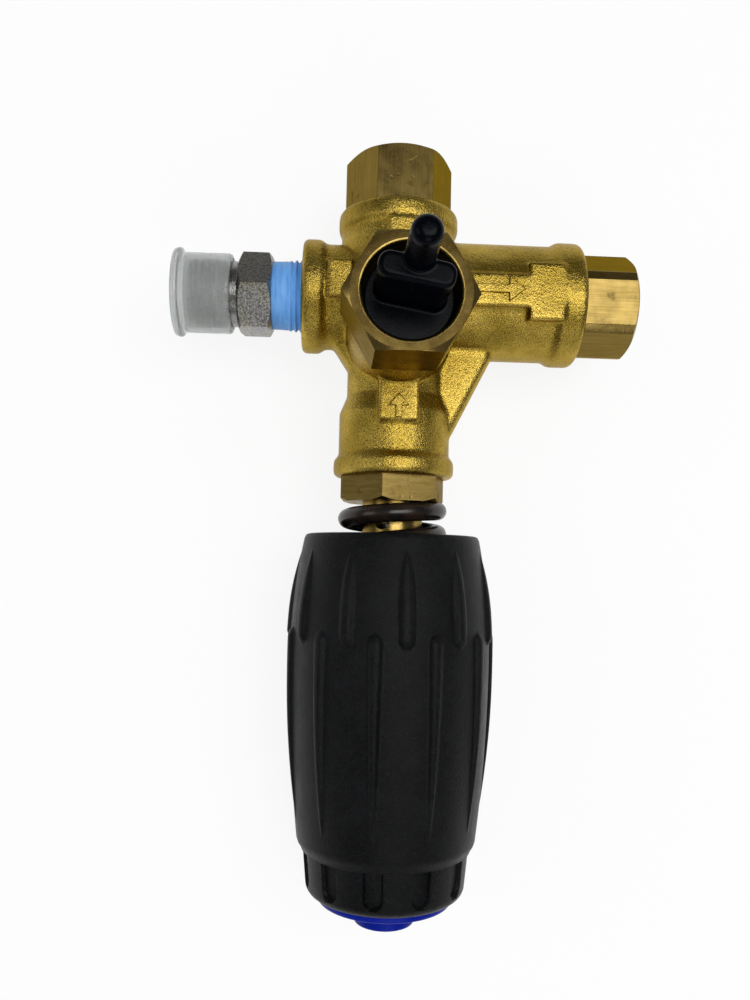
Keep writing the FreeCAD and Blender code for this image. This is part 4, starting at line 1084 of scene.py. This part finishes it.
@dataclass
class Spring:
    """The heavy spring round the guide sleeve."""

    coil_r: float = 11.5
    wire_r: float = 2.3
    closed_pitch: float = 4.9
    open_turns: int = 6
    turn: float = 90.0
    steps: int = 56

    def build(self) -> None:
        """Sweep the wire through its closed, open and closed turns, and grind its ends."""
        low, high = node_span("adjusting_spring", 2)
        start = low + self.wire_r * 0.25
        finish = high - self.wire_r * 0.25
        open_height = finish - start - self.closed_pitch * 2
        mesh = bmesh.new()
        on_edge = Matrix.Rotation(math.pi / 2, 4, "X")
        place = Matrix.Translation((self.coil_r * MM, 0, start * MM)) @ on_edge
        ring = bmesh.ops.create_circle(mesh, cap_ends=True, segments=24, radius=self.wire_r * MM, matrix=place)
        face = ring["verts"][0].link_faces[0]
        runs = ((1, self.closed_pitch), (self.open_turns, open_height), (1, self.closed_pitch))
        for turns, height in runs:
            swept = bmesh.ops.spin(
                mesh,
                geom=[face],
                cent=(0, 0, 0),
                axis=(0, 0, 1),
                dvec=(0, 0, height * MM / (self.steps * turns)),
                angle=math.tau * turns,
                steps=self.steps * turns,
            )
            face = [part for part in swept["geom_last"] if isinstance(part, bmesh.types.BMFace)][0]
        for height, way in ((low, -1), (high, 1)):
            cut = bmesh.ops.bisect_plane(
                mesh,
                geom=mesh.verts[:] + mesh.edges[:] + mesh.faces[:],
                plane_co=(0, 0, height * MM),
                plane_no=(0, 0, way),
                clear_outer=True,
            )
            rim = [part for part in cut["geom_cut"] if isinstance(part, bmesh.types.BMEdge)]
            bmesh.ops.holes_fill(mesh, edges=rim)
        bmesh.ops.rotate(mesh, verts=mesh.verts, matrix=Matrix.Rotation(math.radians(self.turn), 3, "Z"))
        bmesh.ops.recalc_face_normals(mesh, faces=mesh.faces)
        to_object(
            "adjusting_spring",
            mesh,
            [SPRING],
            "valve",
            Direction.UP,
            "adjusting_spring",
            edge=0.1,
        )


@dataclass
class Plug:
    """Transit plug: a shallow cup with a grip paddle and a pull pin on its back."""

    cup_r: float = 10.15
    wall: float = 1.6
    low: float = 31.5
    floor: float = 39.8
    paddle_top: float = 56.0
    paddle_length: float = 15.0
    paddle_thickness: float = 5.6
    offset: float = 0.8
    turn: float = 10.2
    rounding: float = 2.4
    pin_r: float = 3.3
    pin_tip_r: float = 3.1
    pin_length: float = 14.5
    pin_back: float = 2.6
    flare: float = 1.06
    voxel: float = 0.28

    def build(self) -> None:
        """Make the plug as one moulding."""
        mesh = turned(
            [
                (0, self.floor - self.wall),
                (self.cup_r - self.wall, self.floor - self.wall),
                (self.cup_r - self.wall, self.low),
                (self.cup_r - 0.5, self.low),
                (self.cup_r, self.low + 0.5),
                (self.cup_r, self.floor - 0.4),
                (self.cup_r - 0.4, self.floor),
                (0, self.floor),
            ],
            96,
        )
        paddle = bmesh.new()
        height = self.paddle_top - self.floor + 0.5
        middle = self.floor - 0.5 + height / 2
        size = Matrix.Diagonal((self.paddle_length * MM, self.paddle_thickness * MM, height * MM, 1))
        place = Matrix.Translation((0, -self.offset * MM, middle * MM))
        bmesh.ops.create_cube(paddle, size=1, matrix=place @ size)
        upper = [vertex for vertex in paddle.verts if vertex.co.z > middle * MM]
        bmesh.ops.scale(paddle, verts=upper, vec=(self.flare, 1, 1))
        upright = [edge for edge in paddle.edges if abs(edge.verts[0].co.z - edge.verts[1].co.z) > 5 * MM]
        bmesh.ops.bevel(
            paddle,
            geom=upright,
            offset=self.rounding * MM,
            segments=6,
            profile=0.5,
            affect="EDGES",
            material=-1,
        )
        below_top = (self.paddle_top - 1) * MM
        level = [edge for edge in paddle.edges if min(v.co.z for v in edge.verts) > below_top]
        bmesh.ops.bevel(
            paddle, geom=level, offset=1.0 * MM, segments=3, profile=0.5, affect="EDGES", material=-1
        )
        add_mesh(mesh, paddle)
        pin = bmesh.new()
        root = self.floor - 0.5
        place = Matrix.Translation((0, -(self.offset + self.pin_back) * MM, root * MM))
        length = self.paddle_top + self.pin_length - root
        bmesh.ops.create_cone(
            pin,
            cap_ends=True,
            segments=32,
            radius1=self.pin_r * MM,
            radius2=self.pin_tip_r * MM,
            depth=length * MM,
            matrix=place @ Matrix.Translation((0, 0, length * MM / 2)),
        )
        tip = [face for face in pin.faces if face.calc_center_median().z > (root + length * 0.9) * MM]
        rim = [edge for face in tip for edge in face.edges if len(face.edges) > 4]
        bmesh.ops.bevel(pin, geom=rim, offset=2.2 * MM, segments=8, profile=0.5, affect="EDGES", material=-1)
        add_mesh(mesh, pin)
        bmesh.ops.rotate(mesh, verts=mesh.verts, matrix=Matrix.Rotation(math.radians(-self.turn), 3, "Z"))
        piece = to_object(
            "bypass_plug", mesh, [PLUG_BLACK], "plug", Direction.FRONT, "bypass_plug", edge=0
        )
        moulding = piece.modifiers.new("moulding", "REMESH")
        moulding.mode = "VOXEL"
        moulding.voxel_size = self.voxel * MM
        moulding.use_smooth_shade = True
        soft = piece.modifiers.new("soft", "SMOOTH")
        soft.factor = 0.5
        soft.iterations = 4


@dataclass
class Knob:
    """The ribbed knob, its blue end cap and its brass insert."""

    mouth_r: float = 21.9
    belly: float = 124.0
    belly_r: float = 24.9
    lower_bulge: float = 0.6
    upper_bulge: float = 0.75
    skirt: float = 171.8
    skirt_r: float = 22.1
    skirt_end: float = 174.6
    tail_r: float = 20.4
    tail_end_r: float = 19.6
    cavity_r: float = 18.4
    cavity_end_r: float = 17.6
    pocket_r: float = 14.6
    insert_r: float = 7.0
    web_low: float = 156.0
    web_high: float = 166.0
    turn: float = 3.2
    ribs: int = 11
    rib_rise: float = 1.1
    rib_half: float = 1.85
    calm_half: float = 3.3
    calm_length: float = 5.0
    slot_half: float = 2.3
    slot_depth: float = 1.0
    slot_end: float = 183.0
    around: int = 440

    def outside_r(self, height: float) -> float:
        """Give the plain outside radius at a height, both in millimetres."""
        if height <= self.belly:
            share = (height - self.low) / (self.belly - self.low)
            straight = self.mouth_r + (self.belly_r - self.mouth_r) * share
            return straight + self.lower_bulge * 4 * share * (1 - share)
        share = (height - self.belly) / (self.skirt - self.belly)
        radius = self.belly_r + (self.skirt_r - self.belly_r) * share
        return radius + self.upper_bulge * 4 * share * (1 - share)

    def rib(self, across: float, height: float, upper: bool) -> float:
        """Give how far a rib stands out at a place.

        Args:
            across: Distance from the rib's middle line in millimetres.
            height: Height in millimetres.
            upper: Whether it is a long rib above the belly.

        Returns:
            The height of the rib above the knob in millimetres.
        """
        share, half = self.rib_shape(height, upper)
        if not 0 <= share <= 1 or half < 0.01 or abs(across) >= half:
            return 0.0
        nose = min(1.0, share * abs(self.faded(upper) - self.blunt(upper)) / self.rib_half)
        fade = 1 - max(0.0, (share - 0.3) / 0.7) ** 2
        return self.rib_rise * fade * math.sqrt(nose) * (1 - abs(across / half) ** 3)

    def blunt(self, upper: bool) -> float:
        """Give the height of a rib's blunt end."""
        return self.belly - 3.2 if upper else self.belly

    def faded(self, upper: bool) -> float:
        """Give the height of a rib's pointed end."""
        return 168.0 if upper else 101.6

    def rib_shape(self, height: float, upper: bool) -> tuple[float, float]:
        """Give how far along a rib a height is, from its blunt end, and the rib's half width there."""
        reach = self.faded(upper) - self.blunt(upper)
        share = (height - self.blunt(upper)) / reach
        if not 0 <= share <= 1:
            return share, 0.0
        nose = min(1.0, share * abs(reach) / self.rib_half)
        taper = math.sqrt(1 - share) if upper else 1 - share**4.5
        return share, self.rib_half * math.sqrt(1 - (1 - nose) ** 2) * taper

    def gathered(self, across: float, height: float, upper: bool) -> float:
        """Gather the mesh's columns along a rib's sides, so that they run smooth.

        Args:
            across: Distance of a point from the rib's middle line in millimetres.
            height: Height in millimetres.
            upper: Whether it is a long rib above the belly.

        Returns:
            The distance from the middle line that the point gets.
        """
        share, half = self.rib_shape(height, upper)
        reach = abs(self.faded(upper) - self.blunt(upper))
        beyond = max(-share, share - 1, 0.0) * reach / self.calm_length
        least = 0.6 if share < 0.5 else 0.15
        half = max(half, self.rib_half * min(1.0, least + (1 - least) * beyond))
        side = abs(across)
        if side >= self.calm_half:
            return across
        if side <= self.rib_half:
            return across * half / self.rib_half
        spread = (side - self.rib_half) / (self.calm_half - self.rib_half)
        return math.copysign(half + (self.calm_half - half) * spread, across)

    def build(self) -> None:
        """Make the knob, with its inner web, and the cap."""
        self.low, self.high = node_span("knob", 2)
        section: Section = [(self.cavity_r, self.low)]
        section.append((self.mouth_r - 0.8, self.low))
        section.append((self.mouth_r - 0.25, self.low + 0.2))
        rows = 176
        for row in range(1, rows + 1):
            height = self.low + 0.6 + (self.skirt - self.low - 0.6) * row / rows
            section.append((self.outside_r(height), height))
        section += [
            (self.skirt_r - 0.3, self.skirt + 0.9),
            (self.skirt_r - 0.9, self.skirt + 1.8),
            (self.tail_r + 0.5, self.skirt_end - 0.25),
            (self.tail_r, self.skirt_end),
        ]
        rows = 20
        for row in range(1, rows + 1):
            height = self.skirt_end + (self.high - 2.6 - self.skirt_end) * row / rows
            radius = self.tail_r + (self.tail_end_r - self.tail_r) * row / rows
            section.append((radius, height))
        for step in range(1, 7):
            angle = math.pi / 2 * step / 6
            section.append(
                (self.tail_end_r - 2.6 * (1 - math.cos(angle)), self.high - 2.6 + 2.6 * math.sin(angle))
            )
        section += [
            (self.pocket_r, self.high),
            (self.pocket_r, self.web_high),
            (self.insert_r, self.web_high),
            (self.insert_r, self.web_low),
            (self.cavity_end_r, self.web_low),
        ]
        mesh = turned(section, self.around)
        pitch = math.tau / self.ribs
        for vertex in mesh.verts:
            radius = math.hypot(vertex.co.x, vertex.co.y) / MM
            if radius < self.cavity_r + 0.6:
                continue
            height = vertex.co.z / MM
            angle = math.atan2(vertex.co.y, vertex.co.x) - math.radians(self.turn)
            near = (angle + pitch / 2) % pitch - pitch / 2
            far = angle % pitch - pitch / 2
            change = 0.0
            if height < self.skirt:
                short = self.gathered(near * radius, height, False)
                long = self.gathered(far * radius, height, True)
                turn = (short - near * radius + long - far * radius) / radius
                vertex.co.rotate(Matrix.Rotation(turn, 3, "Z"))
                change = max(self.rib(short, height, False), self.rib(long, height, True))
            elif height > self.skirt_end - 0.01:
                straight = max(0.0, height - (self.slot_end - self.slot_half))
                reach = math.hypot(far * radius, straight)
                side = min(1.0, max(0.0, (self.slot_half - reach) / 0.25))
                change = -self.slot_depth * side
            if change:
                scale = (radius + change) / radius
                vertex.co.x *= scale
                vertex.co.y *= scale
        piece = to_object("knob", mesh, [KNOB_BLACK], "knob", Direction.UP, "knob", edge=0)
        piece.data.set_sharp_from_angle(angle=math.radians(35))
        self.cap()

    def cap(self) -> None:
        """Make the snap-in cap with its round button."""
        low, end = node_span("knob_cap", 2)
        rim = self.high + 1.9
        section = [
            (0, self.high - 0.6),
            (self.pocket_r - 1.65, self.high - 0.6),
            (self.pocket_r - 1.65, low),
            (self.pocket_r - 0.3, low),
            (self.pocket_r - 0.05, low + 0.25),
            (self.pocket_r - 0.05, self.high),
            (16.3, self.high),
            (16.6, self.high + 0.3),
            (16.6, rim - 0.8),
            (16.35, rim - 0.25),
            (15.8, rim),
            (13.0, rim + 0.75),
            (9.5, rim + 1.35),
            (7.9, rim + 1.4),
            (7.5, rim + 1.7),
            (7.5, end - 0.8),
            (7.25, end - 0.25),
            (6.7, end),
            (0, end),
        ]
        mesh = turned(section)
        to_object("knob_cap", mesh, [CAP_BLUE], "knob", Direction.UP, "knob_cap", edge=0.1)


@dataclass
class HiddenParts:
    """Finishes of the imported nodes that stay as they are."""

    def build(self) -> None:
        """Give each node the finish of its material slot."""
        by_slot: dict[str, object] = {
            "forged_brass": FORGED,
            "machined_brass": TurnedBrass(Direction.UP),
            "seal_rubber": SEAL_RUBBER,
            "white_plastic": WHITE_RING,
            "stainless_steel": BRIGHT,
            "plated_steel": PLATED,
            "coated_spring": SPRING,
            "blue_sealant": SEALANT,
            "milky_plastic": MILKY,
            "black_plastic": PLUG_BLACK,
            "knob_plastic": KNOB_BLACK,
            "blue_plastic": CAP_BLUE,
        }
        for entry in frame["record"]["subparts"]:
            node = frame["nodes"][entry["node"]]
            node.data.materials.clear()
            node.data.materials.append(FINISHES.give(by_slot[entry["material_slot"]]))


@dataclass
class Studio:
    """White surroundings, soft lamps and the camera."""

    camera_place: tuple[float, float, float] = (15.03, -218.95, 104.78)
    camera_turn: tuple[float, float, float] = (-85.81, 1.3075, -177.1466)
    focal_pixels: float = 861.0
    floor_white: float = 0.86
    floor_mirrored: float = 0.65
    image_height: float = 1000.0
    film: float = 36.0
    floor_gap: float = 0.5
    fill: float = 0.45
    front_glow: float = 0.12

    def build(self) -> None:
        """Set up the view, the world, the floor, the lamps and the camera."""
        scene = bpy.context.scene
        scene.view_settings.view_transform = "Standard"
        self.world()
        self.floor()
        self.lamps()
        data = bpy.data.cameras.new("camera")
        data.sensor_width = self.film
        data.lens = self.focal_pixels / self.image_height * self.film
        camera = bpy.data.objects.new("camera", data)
        camera.location = Vector(self.camera_place) * MM
        camera.rotation_euler = Euler([math.radians(angle) for angle in self.camera_turn])
        scene.collection.objects.link(camera)
        scene.camera = camera

    def seen_white(self, tree: bpy.types.NodeTree, mirrored: float = 1.0) -> bpy.types.NodeSocket:
        """Give 1 for what the camera sees directly, and a share for what a clear or glossy piece sees.

        Args:
            tree: The node tree to add to.
            mirrored: The share for glossy and transmission rays.

        Returns:
            The output that carries the factor.
        """
        path = tree.nodes.new("ShaderNodeLightPath")
        seen = path.outputs["Is Camera Ray"]
        for name in ("Is Glossy Ray", "Is Transmission Ray"):
            part = tree.nodes.new("ShaderNodeMath")
            part.operation = "MULTIPLY"
            part.inputs[1].default_value = mirrored
            tree.links.new(path.outputs[name], part.inputs[0])
            either = tree.nodes.new("ShaderNodeMath")
            either.operation = "MAXIMUM"
            tree.links.new(seen, either.inputs[0])
            tree.links.new(part.outputs["Value"], either.inputs[1])
            seen = either.outputs["Value"]
        return seen

    def world(self) -> None:
        """Make the surroundings white behind the valve, and a dim room in front of it for its gloss."""
        world = bpy.data.worlds.new("studio")
        world.use_nodes = True
        bpy.context.scene.world = world
        tree = world.node_tree
        light = tree.nodes["Background"]
        light.inputs["Color"].default_value = (1, 1, 1, 1)
        light.inputs["Strength"].default_value = self.fill
        white = tree.nodes.new("ShaderNodeBackground")
        white.inputs["Color"].default_value = (1, 1, 1, 1)
        ways = tree.nodes.new("ShaderNodeTexCoord")
        parts = tree.nodes.new("ShaderNodeSeparateXYZ")
        tree.links.new(ways.outputs["Generated"], parts.inputs["Vector"])
        room = tree.nodes.new("ShaderNodeMapRange")
        room.interpolation_type = "SMOOTHSTEP"
        room.inputs["From Min"].default_value = -0.3
        room.inputs["From Max"].default_value = 0.35
        room.inputs["To Min"].default_value = self.front_glow
        room.inputs["To Max"].default_value = 1.0
        tree.links.new(parts.outputs["Y"], room.inputs["Value"])
        plain = tree.nodes.new("ShaderNodeMath")
        plain.operation = "MAXIMUM"
        path = tree.nodes.new("ShaderNodeLightPath")
        tree.links.new(room.outputs["Result"], plain.inputs[0])
        tree.links.new(path.outputs["Is Camera Ray"], plain.inputs[1])
        tree.links.new(plain.outputs["Value"], white.inputs["Strength"])
        mix = tree.nodes.new("ShaderNodeMixShader")
        tree.links.new(self.seen_white(tree), mix.inputs["Fac"])
        tree.links.new(light.outputs["Background"], mix.inputs[1])
        tree.links.new(white.outputs["Background"], mix.inputs[2])
        tree.links.new(mix.outputs["Shader"], tree.nodes["World Output"].inputs["Surface"])

    def floor(self) -> None:
        """Lay a wide pale floor under the valve, which lies on its back; from below it is clear."""
        back = CAD_BOX[1][1] + self.floor_gap * MM
        mesh = bmesh.new()
        place = Matrix.Translation((0, back, 0.08)) @ Matrix.Rotation(math.pi / 2, 4, "X")
        bmesh.ops.create_grid(mesh, x_segments=1, y_segments=1, size=3.0, matrix=place)
        data = bpy.data.meshes.new("floor")
        mesh.to_mesh(data)
        mesh.free()
        material = bpy.data.materials.new("floor")
        material.use_nodes = True
        tree = material.node_tree
        surface = tree.nodes["Principled BSDF"]
        surface.inputs["Base Color"].default_value = (0.9, 0.9, 0.9, 1)
        surface.inputs["Roughness"].default_value = 0.9
        glow = tree.nodes.new("ShaderNodeEmission")
        clear = tree.nodes.new("ShaderNodeBsdfTransparent")
        share = tree.nodes.new("ShaderNodeMath")
        share.operation = "MULTIPLY"
        share.inputs[1].default_value = self.floor_white
        tree.links.new(self.seen_white(tree, self.floor_mirrored), share.inputs[0])
        mix = tree.nodes.new("ShaderNodeMixShader")
        tree.links.new(share.outputs["Value"], mix.inputs["Fac"])
        tree.links.new(surface.outputs["BSDF"], mix.inputs[1])
        tree.links.new(glow.outputs["Emission"], mix.inputs[2])
        sides = tree.nodes.new("ShaderNodeMixShader")
        under = tree.nodes.new("ShaderNodeNewGeometry")
        tree.links.new(under.outputs["Backfacing"], sides.inputs["Fac"])
        tree.links.new(mix.outputs["Shader"], sides.inputs[1])
        tree.links.new(clear.outputs["BSDF"], sides.inputs[2])
        tree.links.new(sides.outputs["Shader"], tree.nodes["Material Output"].inputs["Surface"])
        data.materials.append(material)
        floor = bpy.data.objects.new("floor", data)
        bpy.context.scene.collection.objects.link(floor)

    def lamps(self) -> None:
        """Hang soft lamps on the camera's side."""
        for name, place, width, height, power in (
            ("key", (-0.15, -0.66, 0.03), 0.5, 0.36, 2.55),
            ("side", (0.6, -0.45, 0.1), 0.3, 0.4, 0.6),
            ("low", (-0.1, -0.5, 0.7), 0.4, 0.4, 0.9),
        ):
            data = bpy.data.lights.new(name, "AREA")
            data.shape = "RECTANGLE"
            data.size = width
            data.size_y = height
            data.energy = power
            lamp = bpy.data.objects.new(name, data)
            lamp.location = place
            aim = Vector((0, 0, 0.08)) - Vector(place)
            lamp.rotation_euler = aim.to_track_quat("-Z", "Y").to_euler()
            bpy.context.scene.collection.objects.link(lamp)


def main() -> None:
    """Dress the valve and set up its studio."""
    logging.basicConfig(level=logging.INFO, format="%(message)s")
    HiddenParts().build()
    Forging().build()
    for fitting in FITTINGS:
        fitting.build()
    SideAdapter().build()
    Gland().build()
    Spring().build()
    Plug().build()
    Knob().build()
    Studio().build()


if __name__ == "__main__":
    main()
